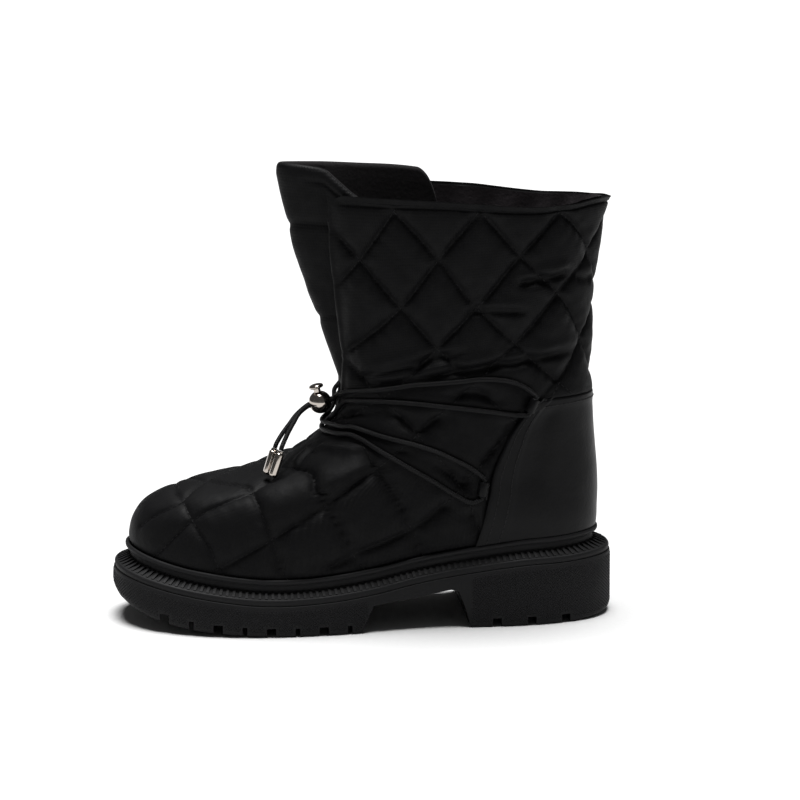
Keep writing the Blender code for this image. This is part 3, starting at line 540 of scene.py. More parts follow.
def bondedThread():  # black polyester sewing thread: a little glossier than the cloth under it
    material, tree, shader = newMaterial("bonded_thread")
    place = addNode(tree, "ShaderNodeTexCoord")
    ply = addNode(tree, "ShaderNodeTexNoise", {"Vector": place.outputs["Object"], "Scale": 1 / (0.6 * mm)})
    colour = addNode(tree, "ShaderNodeMix", {
        "Factor": ply.outputs["Fac"], 6: linear("#0a0a0b"), 7: linear("#141415"),
    }, data_type="RGBA")
    setInputs(shader, {
        "Base Color": colour.outputs[2],
        "Roughness": 0.5, "Specular IOR Level": 0.2,
    })
    return material


nylon = nylonTaffeta()
fleece = brushedFleece("brushed_fleece", "#171617", "#252324")
# the upper's lining is the same fleece with lighter colours: painted light, standing in for the light that
# falls inside the collar onto the far inner wall
paintedLitLining = brushedFleece("napped_lining_painted_light", "#2b282a", "#423d40")
felt = pressedFelt()
leather = coatedLeather()
rubber = mouldedRubber()
elastic = braidedElastic()
nickel = polishedNickel()
thread = bondedThread()
print("materials made")


# Drawcord, its free ends and their tips. The routes are those of the solids.

cord = {
    "radius": 1.3, "clearance": 1.0, "sides": 14, "firstSide": (0.3, 0.2, 0.9),
    "upperLoop": {
        "out": (
            (-2.5, 133), (10.9, 135.6), (24.4, 138.6), (49.5, 140.9), (62, 142), (76, 140.6), (85.5, 136.8),
        ),
        "back": ((82, 120.8), (69.7, 123), (48.4, 126.2), (27.9, 128.2), (10.9, 128.4), (-3, 127.2)),
    },
    "lowerLoop": {
        "out": (
            (-6.9, 112), (-1, 111.2), (6, 109.7), (23.5, 106.2), (37.4, 101.4), (45.3, 97.6), (56.1, 91.6),
        ),
        "back": ((57, 71.8), (48.5, 75.8), (37.5, 83.2), (23.4, 91.8), (10.5, 99.4), (4, 102.9), (-3, 106.6)),
    },
    "crossings": {  # section, angle and lift where the strands pass over the throat
        "fromLock": ((9.8, 10, 0.8), (9.96, 24, 0)),
        "under": ((9.6, 22, 0), (9.3, 14, 0), (8.8, 7, 0), (8.42, 0, 0), (8.36, -16, 0), (8.38, -29, 0)),
        "bar": ((8.06, -44, 0), (8.14, -22, 0), (8.16, 0, 0), (8.14, 22, 0), (8.06, 44, 0)),
        "over": (
            (8.42, 29, 0), (8.46, 16, 0.6), (8.42, 0, 2.9), (8.8, -7, 1.2), (9.3, -14, 0.3), (9.6, -22, 0),
        ),
        "toLock": ((9.96, -24, 0), (9.8, -10, 0.8)),
    },
    "ends": {
        "near": (
            (7, -36.6, 117.5), (16, -40.7, 113.6), (25, -44.6, 109.2), (30.6, -47.9, 103.6),
            (31, -48.7, 101.3),
        ),
        "far": (
            (2.5, -37.8, 116), (10.5, -42.6, 112), (18.5, -47.2, 108), (24.3, -50.8, 103.7),
            (24.6, -51.6, 101.4),
        ),
    },
    "bend": 38.0, "strandStep": 15.0, "crossingStep": 14.0, "behindLock": 1.5,
    "hold": (2.0, 9.0), "rest": 0.75, "restRise": 0.9, "restHalf": 3.2,  # how it presses the padding down
}
lock = {
    "turns": (4, 176, 44), "sides": 64, "slotTurns": range(-90, 91, 10), "boreSides": 40, "cutReach": 13,
    "bevel": 0.28, "bevelSteps": 3, "bevelAngle": 45,
    "centre": (0.0, -24.6, 122.2), "radius": 6.5, "tilt": 14.0, "gap": 0.3,
    "slotHalf": 1.75, "slotRadius": 1.65, "boreRadius": 2.4, "boreFloor": 2.2,
}
tab = {
    "foldTurns": range(90, -91, -10), "backTurns": range(-120, -241, -30), "bevel": 0.22, "bevelAngle": 45,
    "threadForwards": -2.35, "threadOut": 1.55, "threadSpan": (-3.4, 3.4, 12),
    "places": {"upper": (89.5, 126.3), "lower": (63.2, 79.5)},
    "lean": {"upper": 26.0, "lower": 9.0},
    "off": {"upper": 4.8, "lower": 3.0},
    "half": 4.0, "hole": 1.6, "radius": 2.6, "leads": (0.4, 1.6),
    "tail": ((-2.0, -2.6), (-3.4, -2.6), (-3.4, -0.6), (-2.9, 0.6), (-1.8, 2.0)),
}


def lockAxes():  # the cord's way through the lock, forwards, and the button's way out
    tilt = math.radians(lock["tilt"])
    return np.array((0, -math.cos(tilt), -math.sin(tilt))), np.array((0, -math.sin(tilt), math.cos(tilt)))


def inLock(side, direction):
    start = np.array(lock["centre"]) + np.array((lock["slotHalf"] * side, 0, 0))
    return [start + direction * d for d in (lock["gap"] / 2, lock["radius"] / 2, lock["radius"])]


def tabFrame(level, side):  # middle of the cord in a tab, with the ways down, forwards and out
    v, angle = (values[0] for values in findOnLast(tab["places"][level], side))
    out = outOfLast(v, angle)
    lean = math.radians(tab["lean"][level])
    down = np.array((0, -math.sin(lean), -math.cos(lean)))
    down = unit(down - out * (down @ out))
    return onLast(v, angle) + out * tab["off"][level], down, np.cross(down, out) * side, out


def strand(heights, side):
    line = pathThrough(heights, cord["bend"], cord["strandStep"])
    v, angle = findOnLast(line, side)
    return list(offLast(v, angle, np.full(len(v), cord["radius"] + cord["clearance"])))


def loopRoute(loop, level, side):
    middle, down = tabFrame(level, side)[:2]
    near, far = (tab["half"] + lead for lead in tab["leads"])
    inside = [middle + down * d for d in (-far, -near, 0, near, far)]
    return strand(loop["out"], side) + inside + strand(loop["back"], side)


def across(name):
    line = pathThrough(cord["crossings"][name], cord["bend"], cord["crossingStep"])
    return list(offLast(line[:, 0], line[:, 1], cord["radius"] + cord["clearance"] + line[:, 2]))


def drawcordPath():
    forwards = lockAxes()[0]
    lateral, medial = (inLock(side, -forwards) for side in (1, -1))
    for start in (lateral, medial):
        start.append(start[-1] - forwards * cord["behindLock"])
    route = lateral + across("fromLock") + loopRoute(cord["upperLoop"], "upper", 1) + across("under")
    route += loopRoute(cord["lowerLoop"], "lower", -1) + across("bar")
    route += loopRoute(cord["lowerLoop"], "lower", 1)[::-1] + across("over")
    route += loopRoute(cord["upperLoop"], "upper", -1)[::-1] + across("toLock") + medial[::-1]
    return pathThrough(route)


def tubeAlong(name, path, radius, sides, material):
    tangent = unit(np.gradient(path, axis=0))
    side = unit(np.cross(tangent[0], cord["firstSide"]))
    turns = np.radians(np.linspace(0, 360, sides + 1))
    run = runAlong(path)
    points, uv = [], []
    for k, here in enumerate(path):
        side = unit(side - tangent[k] * (side @ tangent[k]))
        third = np.cross(tangent[k], side)
        points.extend(here + radius * (math.cos(a) * side + math.sin(a) * third) for a in turns)
        uv.extend((radius * a, run[k]) for a in turns)
    faces = gridFaces(0, len(path), sides + 1)
    ring = list(range(sides))
    faces += [tuple(ring[::-1]), tuple((len(path) - 1) * (sides + 1) + k for k in ring)]
    return newPiece(name, points, faces, [material], uv)


def turnedSolid(name, profile, sides, centre, axis, sideways, material, sharp=40):
    third = unit(np.cross(axis, sideways))
    turns = np.radians(np.arange(sides) * 360 / sides)
    points = []
    for radius, height in profile:
        for a in turns:
            spoke = sideways * math.cos(a) + third * math.sin(a)
            points.append(centre + axis * height + spoke * radius)
    faces = ringFaces(len(profile), sides)
    faces += [tuple(range(sides))[::-1], tuple((len(profile) - 1) * sides + k for k in range(sides))]
    return newPiece(name, points, faces, [material], sharp=sharp)


tip = {
    "sides": 8, "sharp": 25, "bevel": 0.18, "bevelAngle": 30, "firstSide": (0.2, 0.9, 0.1),
    "profile": (  # radius and distance from the cord's end
        (1.45, 0.3), (1.9, 0.35), (1.95, 0.9), (1.9, 1.7), (2.25, 2.0), (2.6, 2.5),
        (2.6, 13.9), (2.45, 14.5), (1.8, 15.5),
    ),
}


def buildCords():
    path = drawcordPath()
    drawcord = tubeAlong("elastic_drawcord", path, cord["radius"], cord["sides"], elastic)
    settle(drawcord, "elastic_cord", "boot", "drawcord")
    forwards = lockAxes()[0]
    for name, side in (("near", 1), ("far", -1)):
        route = inLock(side, forwards) + [np.array(p) for p in cord["ends"][name]]
        end = pathThrough(route)
        lace = tubeAlong(f"lace_end_{name}", end, cord["radius"], cord["sides"], elastic)
        axis = unit(end[-1] - end[-2])
        sideways = unit(np.cross(axis, tip["firstSide"]))
        barrel = turnedSolid(
            f"metal_tip_{name}", tip["profile"], tip["sides"], end[-1], axis, sideways, nickel, tip["sharp"]
        )
        soften(barrel, tip["bevel"], angle=tip["bevelAngle"])
        settle(lace, "elastic_cord", "boot", f"cord_end_{name}")
        settle(barrel, "polished_nickel", "boot", f"cord_tip_{name}")
    return path


cordPath = buildCords()
print("cords laid, drawcord", round(runAlong(cordPath)[-1]), "mm")


# Quilted upper. Stitched lines, creases and the cord's pull are placed in the boot's own sizes and
# pressed into one skin. The outer side was seen, and the inner side mirrors it.

quilt = {
    "heelMiddle": 151.0,  # length of the heel's middle line in the unrolled view
    "sideLines": {  # length along the foot and height, unrolled round the heel
        "rise1": ((-86, 36), (-74, 43), (-58, 52.4), (-27.6, 71.2), (-4.7, 86), (5.4, 93.5), (24, 109),
                  (50, 132), (88, 167), (106, 188), (128, 210), (151, 234)),
        "rise2": ((-22, 37), (-8, 44), (6, 49.8), (24, 57), (40, 69), (62, 92), (79, 110), (107.5, 137.5),
                  (127, 160), (151, 184)),
        "rise3": ((-15, 114), (16, 136.5), (39, 160.5), (60, 182), (83, 209), (101, 228), (107, 236)),
        "rise4": ((-14, 152), (16, 180), (38.5, 209.7), (55.4, 230), (60, 237)),
        "rise5": ((-19, 190), (-6.5, 206), (12, 233.6), (14, 237)),
        "fall1": ((-22, 226), (-5, 206), (16, 182), (38, 158), (62, 134), (82, 116)),
        "fall2": ((12, 236), (36.4, 209.7), (50.3, 191.8), (58.2, 182.2), (80, 162), (105, 138), (113, 131)),
        "fall3": ((60, 237), (85.4, 207.8), (108, 185.4), (127, 160), (151, 135)),
        "fall4": ((104, 236), (128, 210), (151, 184)),
        "fall5": ((-14, 150), (10, 128), (30, 107), (43, 92), (54, 75), (62, 56), (66, 47)),
        "fall6": ((-13, 117), (-1.5, 101.8), (2.6, 93.5), (8.7, 84.4), (16.6, 72.8), (24.1, 56.9), (31, 40)),
    },
    "toeLines": {  # section and angle from the front, over the toe and the vamp
        "rise6": ((0.3, 31), (0.81, 36), (2.19, 44.2), (3.21, 47.6), (4.07, 51.2), (4.97, 47.2), (5.9, 33),
                  (6.5, 0)),
        "rise7": ((1.9, 18), (2.31, 21.5), (3.08, 27.8), (3.72, 28), (4.3, 17), (4.75, 0)),
        "fall7": ((6.5, 0), (6.62, 28), (6.33, 53.2), (4.81, 89), (4.09, 92.3), (3.6, 94.2), (2.73, 96.6),
                  (1.57, 98.8), (0.4, 101)),
        "fall8": ((4.75, 0), (5.1, 25), (5.13, 40.7), (4.19, 66.7), (3.05, 80.3), (2.0, 85.5), (0.4, 90)),
        "fall9": ((4.0, 0), (3.9, 10.3), (3.65, 30.7), (2.98, 46.7), (1.99, 59.6), (1.2, 64.9), (0.4, 68.5)),
    },
    "crown": 1.5, "stitchDepth": -2.0, "trench": 0.9, "trenchHalf": 1.3, "reach": 15.0, "fullness": 3.6,
    "deepest": -3.3, "unrollFrom": 125.0, "sectionRise": 15, "lineBend": 10, "lineStep": 1.0,
    "pucker": 0.34, "puckerPitch": 8.0, "puckerShift": 1.7, "puckerReach": 4.5, "puckerFrom": 1.2,
    "drift": 2, "driftSize": 17.0, "lumps": 0.6, "lumpSize": 21.0,
    "wrinkles": 0.18, "wrinkleSize": 6.5, "wrinkleShift": 50,
    "toeCalm": 0.75, "toeSpan": (-30, -85), "sideShare": 0.5, "sideSpan": (25, 62),
    "creaseTaper": 0.2, "creaseFromCord": (1.4, 4.0), "rollAt": 2.1, "rollHalf": 1.4,
}
crease = {  # section and angle; trough's depth and half width; roll above it, or below where negative
    "ankleFront": {
        "line": ((10.25, 22.6), (10.48, 60.3), (10.57, 82.0), (10.61, 96.0)),
        "depth": 1.7, "half": 2.4, "roll": 0.9,
    },
    "ankleLong": {
        "line": ((10.15, 16.8), (10.02, 72.3), (10.02, 93.5), (9.81, 116.5), (9.54, 159.5)),
        "depth": 3.0, "half": 2.6, "roll": 1.4,
    },
    "heelPinch": {
        "line": ((12.12, 108.0), (12.08, 121.0), (12.16, 140.0)),
        "depth": 3.4, "half": 2.6, "roll": 1.6,
    },
    "heelPinchLow": {
        "line": ((11.98, 143.0), (11.78, 160.0)),
        "depth": 1.8, "half": 3.0, "roll": 1.0,
    },
    "shaftMiddle": {
        "line": ((11.62, 88.0), (11.55, 98.0), (11.3, 117.0)),
        "depth": 2.0, "half": 2.2, "roll": 0.9,
    },
    "vampRoll": {
        "line": ((6.1, 42), (7.15, 23.5), (7.62, 20.5), (7.84, 26), (7.82, 39.4), (7.77, 53.3), (7.68, 66.1)),
        "depth": 1.0, "half": 2.2, "roll": -1.2,
    },
}
upper = {
    "rowStep": 1.45, "halfColumns": 190, "probe": 5.0, "topRows": 16, "topSpan": 0.3, "rowGap": 0.01,
    "rim": 0.6, "bulge": 2.2, "bulgePower": 0.7, "rimSteps": 8, "facing": 2.4, "weltHold": (0.25, 1.0),
    "edgeShare": 0.3, "edgeSpan": (1.5, 12), "openFrom": 6, "farAway": 99,
    "bead": 0.9, "beadAt": 1.0, "beadHalf": 1.6,
    "groove": 0.8, "grooveAt": 4.8, "grooveHalf": 1.1, "grooveSpan": (6, 14),
    "waveAngle": (30, 60, 80, 95, 105, 115, 125, 135, 145, 155, 165, 180),  # the collar's rise and fall
    "waveLateral": (0, 0, 0, -0.8, -1.4, -1.6, -1.0, 0, 2.0, 3.0, 2.8, 1.8),
    "waveMedial": (0, 0.8, 0.8, 0.3, -0.8, -1.6, -1.8, -1.2, -0.5, 0, 1.0, 1.5),
    "waveFrom": 12.5, "flare": 1.1, "pinches": 5, "pinchSpan": (85, 120),
    "reachV": (9, 10.5, 12, 13, 14), "reach": (0, 0, 1.6, 2.6, 3.4),
    "innerRows": 44, "innerHalf": 70, "liningOff": 0.1, "ripple": 0.6, "rippleTurn": 0.35,
    "rippleDrift": 2, "rippleSize": 40.0, "rippleUp": (9.5, 12), "rippleTop": (0.15, 0.5),
    "cornerRadius": 13.0, "cornerFrom": 12.0,
    "shaftRow": 28.0, "flapDegree": 1.08,  # millimetres to a section and to a degree
    "clothRow": 18.0, "clothDegree": 1.2,  # the same for the weave
}
counter = {
    "seamZ": (46, 59, 74, 83, 92, 99, 110.5, 122, 129.5, 140),
    "seamY": (60, 63.8, 67, 68.2, 70.8, 73.7, 79.2, 88.2, 98, 110),
    "topZ": 129.0, "foot": 0.5, "thick": 1.5, "off": 0.4,
    "tuck": -0.5, "tuckSeam": (-4.0, 0.5), "tuckTop": (128, 133),  # the padding under the leather
    "full": 2.0, "fullSeam": (-2.0, 2.0), "fullFrom": (127.2, 129.4), "fullTo": (130, 143),  # and above it
    "sections": np.linspace(0, 10.5, 240), "seamBetween": (60.0, 175.0), "seamHalvings": 40,
    "topBetween": (4.0, 12.0), "topHalvings": 36,
    "degree": 0.95, "rowRise": 10.5, "height": 75,  # lengths of a degree, a section and the whole
    "rows": 70, "nearEnds": (0.001, 0.003, 0.006, 0.01, 0.99, 0.994, 0.997, 0.999),
    "half": 90, "nearSeam": (0.985, 0.991, 0.995, 0.998, 0.9993), "footEdge": 0.05, "reliefFrom": 1.0,
    "swell": 0.35, "swellSize": 30.0, "swellFrom": (6, 20),
    "stripRise": 0.35, "stripFold": (3.7, 4.6), "seamRise": 0.45, "seamBand": (5.6, 7.2),
    "hollow": 0.9, "hollowAt": 11.5, "hollowHalf": 4.0, "hollowFrom": (0.3, 0.6), "hollowTo": (0.9, 0.97),
    "threadAt": (2.2, 5.2), "threadSpan": (0.02, 0.985), "threadAcross": 0.97, "threadPoints": 160,
    "threadLift": 0.42, "topThread": 0.962, "topThreadSpan": (0.99, -0.99), "topPoints": 300, "topLift": 0.05,
}


def seamLength(z):
    return curveThrough(counter["seamZ"], counter["seamY"], z)


def lineOnLast(places, side=1):  # smooth line through sections and angles
    rise = quilt["sectionRise"]
    return pathThrough(np.array(places) * (rise, side), quilt["lineBend"], quilt["lineStep"]) / (rise, 1)


def sampleLines():  # both families of stitched lines as points (section, angle), on both sides of the boot
    families = {"rise": [], "fall": []}
    for table in ("sideLines", "toeLines"):
        for name, places in quilt[table].items():
            if table == "sideLines":
                path = pathThrough(places, quilt["lineBend"], quilt["lineStep"])
                line = np.stack(findOnLast(path, 1, wrapView), -1)
            else:
                line = lineOnLast(places)
            line = line[np.abs(line[:, 1]) >= slitAngle(line[:, 0])]
            families[name.rstrip("0123456789")] += [line, line * (1, -1)]
    return families


def treeThrough(points):
    tree = KDTree(len(points))
    for k, point in enumerate(points):
        tree.insert(point, k)
    tree.balance()
    return tree


def treeOf(lines):
    points = np.concatenate([onLast(line[:, 0], line[:, 1]) for line in lines])
    runs = np.concatenate([runAlong(onLast(line[:, 0], line[:, 1])) for line in lines])
    owner = np.concatenate([np.full(len(line), k) for k, line in enumerate(lines)])
    return treeThrough(points), points, runs, owner


def nearestOn(tree, points):
    found = [tree.find(p) for p in points]
    return np.array([f[1] for f in found]), np.array([f[2] for f in found])


quiltLines = sampleLines()
quiltTrees = [treeOf(lines) for lines in quiltLines.values()]
creaseTrees = {
    name: treeOf([lineOnLast(row["line"], side) for side in (1, -1)]) for name, row in crease.items()
}
cordTree = treeThrough(cordPath)


def softNoise(points, size):
    return np.array([noise.noise(Vector(p) / size) for p in points])


def pillows(base, turned):  # puff between the sewn lines, smoother over the toe
    filled, sewn, pucker = 1.0, 0.0, 0.0
    drift = quilt["drift"] * softNoise(base, quilt["driftSize"])
    for tree, _, runs, owner in quiltTrees:
        index, d = nearestOn(tree, base)
        filled = filled * (1 - (1 - np.clip(d / quilt["reach"], 0, 1)) ** quilt["fullness"])
        sewn = np.maximum(sewn, quilt["trench"] * bell(d, quilt["trenchHalf"]))
        phase = 2 * np.pi * runs[index] / quilt["puckerPitch"] + quilt["puckerShift"] * owner[index] + drift
        swell = quilt["pucker"] * np.sin(phase) * np.exp(-d / quilt["puckerReach"])
        pucker = pucker + swell * (1 - np.exp(-d / quilt["puckerFrom"]))
    height = quilt["stitchDepth"] + (quilt["crown"] - quilt["stitchDepth"]) * filled + pucker
    lumps = quilt["lumps"] * softNoise(base, quilt["lumpSize"])
    height += lumps + quilt["wrinkles"] * softNoise(base + quilt["wrinkleShift"], quilt["wrinkleSize"])
    calm = quilt["toeCalm"] * ease(*quilt["toeSpan"], base[:, 1])
    height *= 1 - calm * (1 - quilt["sideShare"] * ease(*quilt["sideSpan"], turned))
    return height - sewn


def pressedByCord(base, height):  # the cord draws the padding in and rests on it
    _, d = nearestOn(cordTree, base)
    beside = np.sqrt(np.maximum(0, d**2 - (cord["radius"] + cord["clearance"]) ** 2))
    rest = cord["rest"] + cord["restRise"] * (1 - bell(beside, cord["restHalf"]))
    return height + (rest - height) * (1 - ease(*cord["hold"], beside)), beside


def creased(base, height, beside):  # troughs with a roll along one side, fading near the cord
    for name, row in crease.items():
        tree, points, runs, _ = creaseTrees[name]
        index, d = nearestOn(tree, base)
        share = runs[index] / runs.max()
        tapered = ease(0, quilt["creaseTaper"], share) * ease(0, quilt["creaseTaper"], 1 - share)
        tapered = tapered * ease(*quilt["creaseFromCord"], beside)
        above = np.where(base[:, 2] > points[index, 2], d, -d) * np.sign(row["roll"])
        fromRoll = above - quilt["rollAt"] * row["half"]
        height = height - row["depth"] * tapered * bell(d, row["half"])
        height = height + abs(row["roll"]) * tapered * bell(fromRoll, quilt["rollHalf"] * row["half"])
    return np.maximum(height, quilt["deepest"])


def tuckedUnder(base, height):  # pressed flat under the leather counter and full above it
    z = base[:, 2]
    fromSeam = base[:, 1] - seamLength(z)
    hidden = ease(*counter["tuckSeam"], fromSeam) * (1 - ease(*counter["tuckTop"], z))
    height = height + (counter["tuck"] - height) * hidden
    over = ease(*counter["fullSeam"], fromSeam) * ease(*counter["fullFrom"], z)
    return height + (counter["full"] - height) * over * (1 - ease(*counter["fullTo"], z))


def edged(v, turned, height):  # held by the welt, rolled at the open edge and sewn along the collar
    height = height * ease(*upper["weltHold"], v)
    slit = slitAngle(v)
    fromCollar = (last["collar"] - v) * upper["shaftRow"]
    fromFlap = (turned - slit) * upper["flapDegree"] + curveThrough(upper["reachV"], upper["reach"], v)
    fromFlap = np.where(slit > upper["openFrom"], fromFlap, upper["farAway"])
    fromEdge = np.minimum(fromCollar, fromFlap)
    share = upper["edgeShare"]
    height = height * (share + (1 - share) * ease(*upper["edgeSpan"], fromEdge))
    height = height + upper["bead"] * bell(fromEdge - upper["beadAt"], upper["beadHalf"])
    sewn = bell(fromCollar - upper["grooveAt"], upper["grooveHalf"]) * ease(*upper["grooveSpan"], fromFlap)
    return height - upper["groove"] * sewn


def quiltHeight(v, angle):  # how far the skin stands off the last
    shape = np.shape(v)
    v, angle = np.ravel(v), np.ravel(angle)
    base = onLast(v, angle)
    turned = np.abs((angle + 180) % 360 - 180)
    height, beside = pressedByCord(base, pillows(base, turned))
    height = tuckedUnder(base, creased(base, height, beside))
    return edged(v, turned, height).reshape(shape)


def waved(points, v, angle):  # the collar's edge rises and falls, and its back is slightly pinched
    turned = np.abs((angle + 180) % 360 - 180)
    lateral = curveThrough(upper["waveAngle"], upper["waveLateral"], turned)
    medial = curveThrough(upper["waveAngle"], upper["waveMedial"], turned)
    grown = ease(upper["waveFrom"], last["collar"], v)
    points = points.copy()
    points[..., 2] += np.where(np.sin(np.radians(angle)) >= 0, lateral, medial) * grown
    pinch = upper["flare"] * np.sin(np.radians(turned * upper["pinches"]))
    pinch = pinch * ease(*upper["pinchSpan"], turned) * grown
    return points + outOfLast(v, angle) * pinch[..., None]


def skin(v, angle, lift=0.0):
    return waved(offLast(v, angle, quiltHeight(v, angle) + lift), v, angle)


def upperRows():  # sections of the rows, closer along the collar
    angles = np.arange(0, 181, upper["probe"])
    rows = [0.0]
    for k in range(last["collar"]):
        span = np.linalg.norm(onLast(k + 1, angles) - onLast(k, angles), axis=-1).max()
        count = math.ceil(span / upper["rowStep"])
        rows.extend(k + np.arange(1, count + 1) / count)
    rows = np.array(rows)
    fine = np.linspace(last["collar"] - upper["topSpan"], last["collar"], upper["topRows"])
    rows = np.concatenate((rows[rows < fine[0] - upper["rowGap"]], fine))
    rows[-1] -= upper["bulge"] / upper["shaftRow"]
    return rows


def layOut(rowValues, half, inset):  # section and angle of each point of a skin, with round flap corners
    share = np.linspace(0, 1, half + 1)
    share = np.concatenate((share, share[-2::-1]))
    side = np.where(np.arange(len(share)) <= half, 1.0, -1.0)
    row = np.repeat(rowValues[:, None], len(share), 1)
    slit = slitAngle(row)
    forward = inset - curveThrough(upper["reachV"], upper["reach"], row)  # the flaps lean a little forward
    slit = np.where(slit > 0, slit + forward / upper["flapDegree"] * ease(0, upper["openFrom"], slit), 0)
    turned = slit + (180 - slit) * share
    radius = upper["cornerRadius"]
    fromEdge = np.minimum(radius, (turned - slit) * upper["flapDegree"])
    drop = radius - np.sqrt(radius**2 - (radius - fromEdge) ** 2)
    lowered = np.maximum(0, row - upper["cornerFrom"]) / (last["collar"] - upper["cornerFrom"])
    return row - lowered * drop / upper["shaftRow"], turned * side


def clothPlaces(v, angle):
    return np.stack((angle * upper["clothDegree"], v * upper["clothRow"]), -1).reshape(-1, 2)


def liningSkin(v, angle):
    base = onLast(v, angle).reshape(-1, 3)
    drift = upper["rippleDrift"] * softNoise(base, upper["rippleSize"]).reshape(v.shape)
    ripple = upper["ripple"] * np.sin(angle * upper["rippleTurn"] + drift)
    ripple *= ease(*upper["rippleUp"], v) * ease(*upper["rippleTop"], last["collar"] - v)
    return waved(offLast(v, angle, -last["wall"] + upper["liningOff"] + ripple), v, angle)


def buildUpper():
    rows = upperRows()
    v, angle = layOut(rows, upper["halfColumns"], upper["rim"])
    columns = v.shape[1]
    outer = skin(v, angle)
    normal = outOfLast(v, angle)
    throatRow = int(np.argmin(np.abs(rows - last["throat"])))

    # open edge: up one flap, round the collar and down the other flap, turned over to the inside
    edge = [(r, 0) for r in range(throatRow, len(rows))]
    edge += [(len(rows) - 1, c) for c in range(1, columns)]
    edge += [(r, columns - 1) for r in range(len(rows) - 2, throatRow - 1, -1)]
    points = [outer.reshape(-1, 3)]
    faces = gridFaces(0, len(rows), columns)
    edgeLoop = np.array([outer[r, c] for r, c in edge])
    edgeNormal = np.array([normal[r, c] for r, c in edge])
    outward = unit(np.cross(edgeNormal, np.gradient(edgeLoop, axis=0)))
    behind = np.array([outer[max(r - 1, 0), min(max(c, 1), columns - 2)] for r, c in edge])
    outward *= np.sign(np.sum(outward * (edgeLoop - behind), axis=1))[:, None]
    openBy = np.array([slitAngle(rows[r]) * upper["flapDegree"] for r, _ in edge])
    bulge = np.minimum(upper["bulge"], openBy)
    edgeV, edgeAngle = (np.array([grid[r, c] for r, c in edge]) for grid in (v, angle))
    bottom = waved(offLast(edgeV, edgeAngle, np.full(len(edge), -last["wall"])), edgeV, edgeAngle)
    previous = [r * columns + c for r, c in edge]
    first = outer.shape[0] * columns
    for k in range(1, upper["rimSteps"] + 1):
        turn = math.pi * k / upper["rimSteps"]
        share = (1 - math.cos(turn)) / 2
        bulged = bulge * max(0, math.sin(turn)) ** upper["bulgePower"]
        ring = edgeLoop + (bottom - edgeLoop) * share + outward * bulged[:, None]
        points.append(ring)
        current = list(range(first, first + len(ring)))
        faces += [(previous[j], previous[j + 1], current[j + 1], current[j]) for j in range(len(ring) - 1)]
        previous = current
        first += len(ring)

    # lining: a coarser skin, zipped to the turned edge and to the foot of the outer skin
    below = last["throat"] * np.linspace(0, 1, upper["innerRows"] // 2 + 1)
    highest = rows[-1] - upper["facing"] / upper["shaftRow"]
    aboveThroat = np.linspace(last["throat"], highest, upper["innerRows"] // 2 + 1)[1:]
    innerRows = np.concatenate((below, aboveThroat))
    innerV, innerAngle = layOut(innerRows, upper["innerHalf"], upper["rim"] + upper["facing"])
    innerColumns = innerV.shape[1]
    points.append(liningSkin(innerV, innerAngle).reshape(-1, 3))
    insideFaces = gridFaces(first, len(innerRows), innerColumns, True)

    def at(r, c):
        return first + r * innerColumns + c

    throatInner = len(below) - 1
    top, right = len(innerRows) - 1, innerColumns - 1
    flap = len(rows) - throatRow
    shellFaces = len(faces)
    faces += insideFaces
    faces += zipFaces(previous[:flap], [at(r, 0) for r in range(throatInner, top + 1)])
    faces += zipFaces(previous[flap - 1:flap - 1 + columns], [at(top, c) for c in range(innerColumns)])
    faces += zipFaces(previous[-flap:], [at(r, right) for r in range(top, throatInner - 1, -1)])
    faces += zipFaces(list(range(columns)), [at(0, c) for c in range(innerColumns)])
    points = np.concatenate(points)
    cloth = clothPlaces(v, angle)
    uv = np.zeros((len(points), 2))
    uv[:len(cloth)] = cloth
    rimPoints = np.array([cloth[r * columns + c] for r, c in edge])
    for k in range(upper["rimSteps"]):
        start = len(cloth) + k * len(edge)
        uv[start:start + len(edge)] = rimPoints + (0, upper["clothDegree"] * (k + 1))
    uv[first:] = clothPlaces(innerV, innerAngle)
    which = [0] * shellFaces + [1] * (len(faces) - shellFaces)
    piece = newPiece("quilted_upper", points, faces, [nylon, paintedLitLining], uv, which, sharp=70)
    settle(piece, "quilted_nylon", "boot", "upper")


buildUpper()
print("upper quilted,", sum(map(len, quiltLines.values())), "stitched lines")


# Leather counter over the heel, with a folded strip along its top

def counterSeams():  # angle of the front seam at each section, for both sides
    sections = counter["sections"]
    table = {}
    for side in (1, -1):
        low, high = (np.full(len(sections), limit) for limit in counter["seamBetween"])
        for _ in range(counter["seamHalvings"]):
            middle = (low + high) / 2
            here = onLast(sections, middle * side)
            behind = here[:, 1] > seamLength(here[:, 2])
            low, high = np.where(behind, low, middle), np.where(behind, middle, high)
        table[side] = high
    return table


def seamAngle(v, side):
    return np.interp(v, counter["sections"], seamTable[side])


def counterPlaces(up, acrossShare):  # section and angle, and the way to the front seam and to the top
    side = np.where(acrossShare >= 0, 1, -1)

    def angleAt(v):
        seam = np.where(side > 0, seamAngle(v, 1), seamAngle(v, -1))
        return side * (180 - np.abs(acrossShare) * (180 - seam)), seam

    low, high = (np.full(np.shape(up), limit) for limit in counter["topBetween"])
    for _ in range(counter["topHalvings"]):
        middle = (low + high) / 2
        over = onLast(middle, angleAt(middle)[0])[..., 2] > counter["topZ"]
        low, high = np.where(over, low, middle), np.where(over, middle, high)
    v = counter["foot"] + (high - counter["foot"]) * up
    angle, seam = angleAt(v)
    fromFront = (1 - np.abs(acrossShare)) * (180 - seam) * counter["degree"]
    return v, angle, fromFront, (1 - up) * (high - counter["foot"]) * counter["rowRise"]


def rounded(edge, half):  # half thickness of a wall that rounds off towards its edge
    return half * np.sqrt(1 - (1 - np.clip(edge / half, 0, 1)) ** 2)


def closerAtEnds(count):
    return (1 - np.cos(np.pi * np.arange(count + 1) / count)) / 2


seamTable = counterSeams()


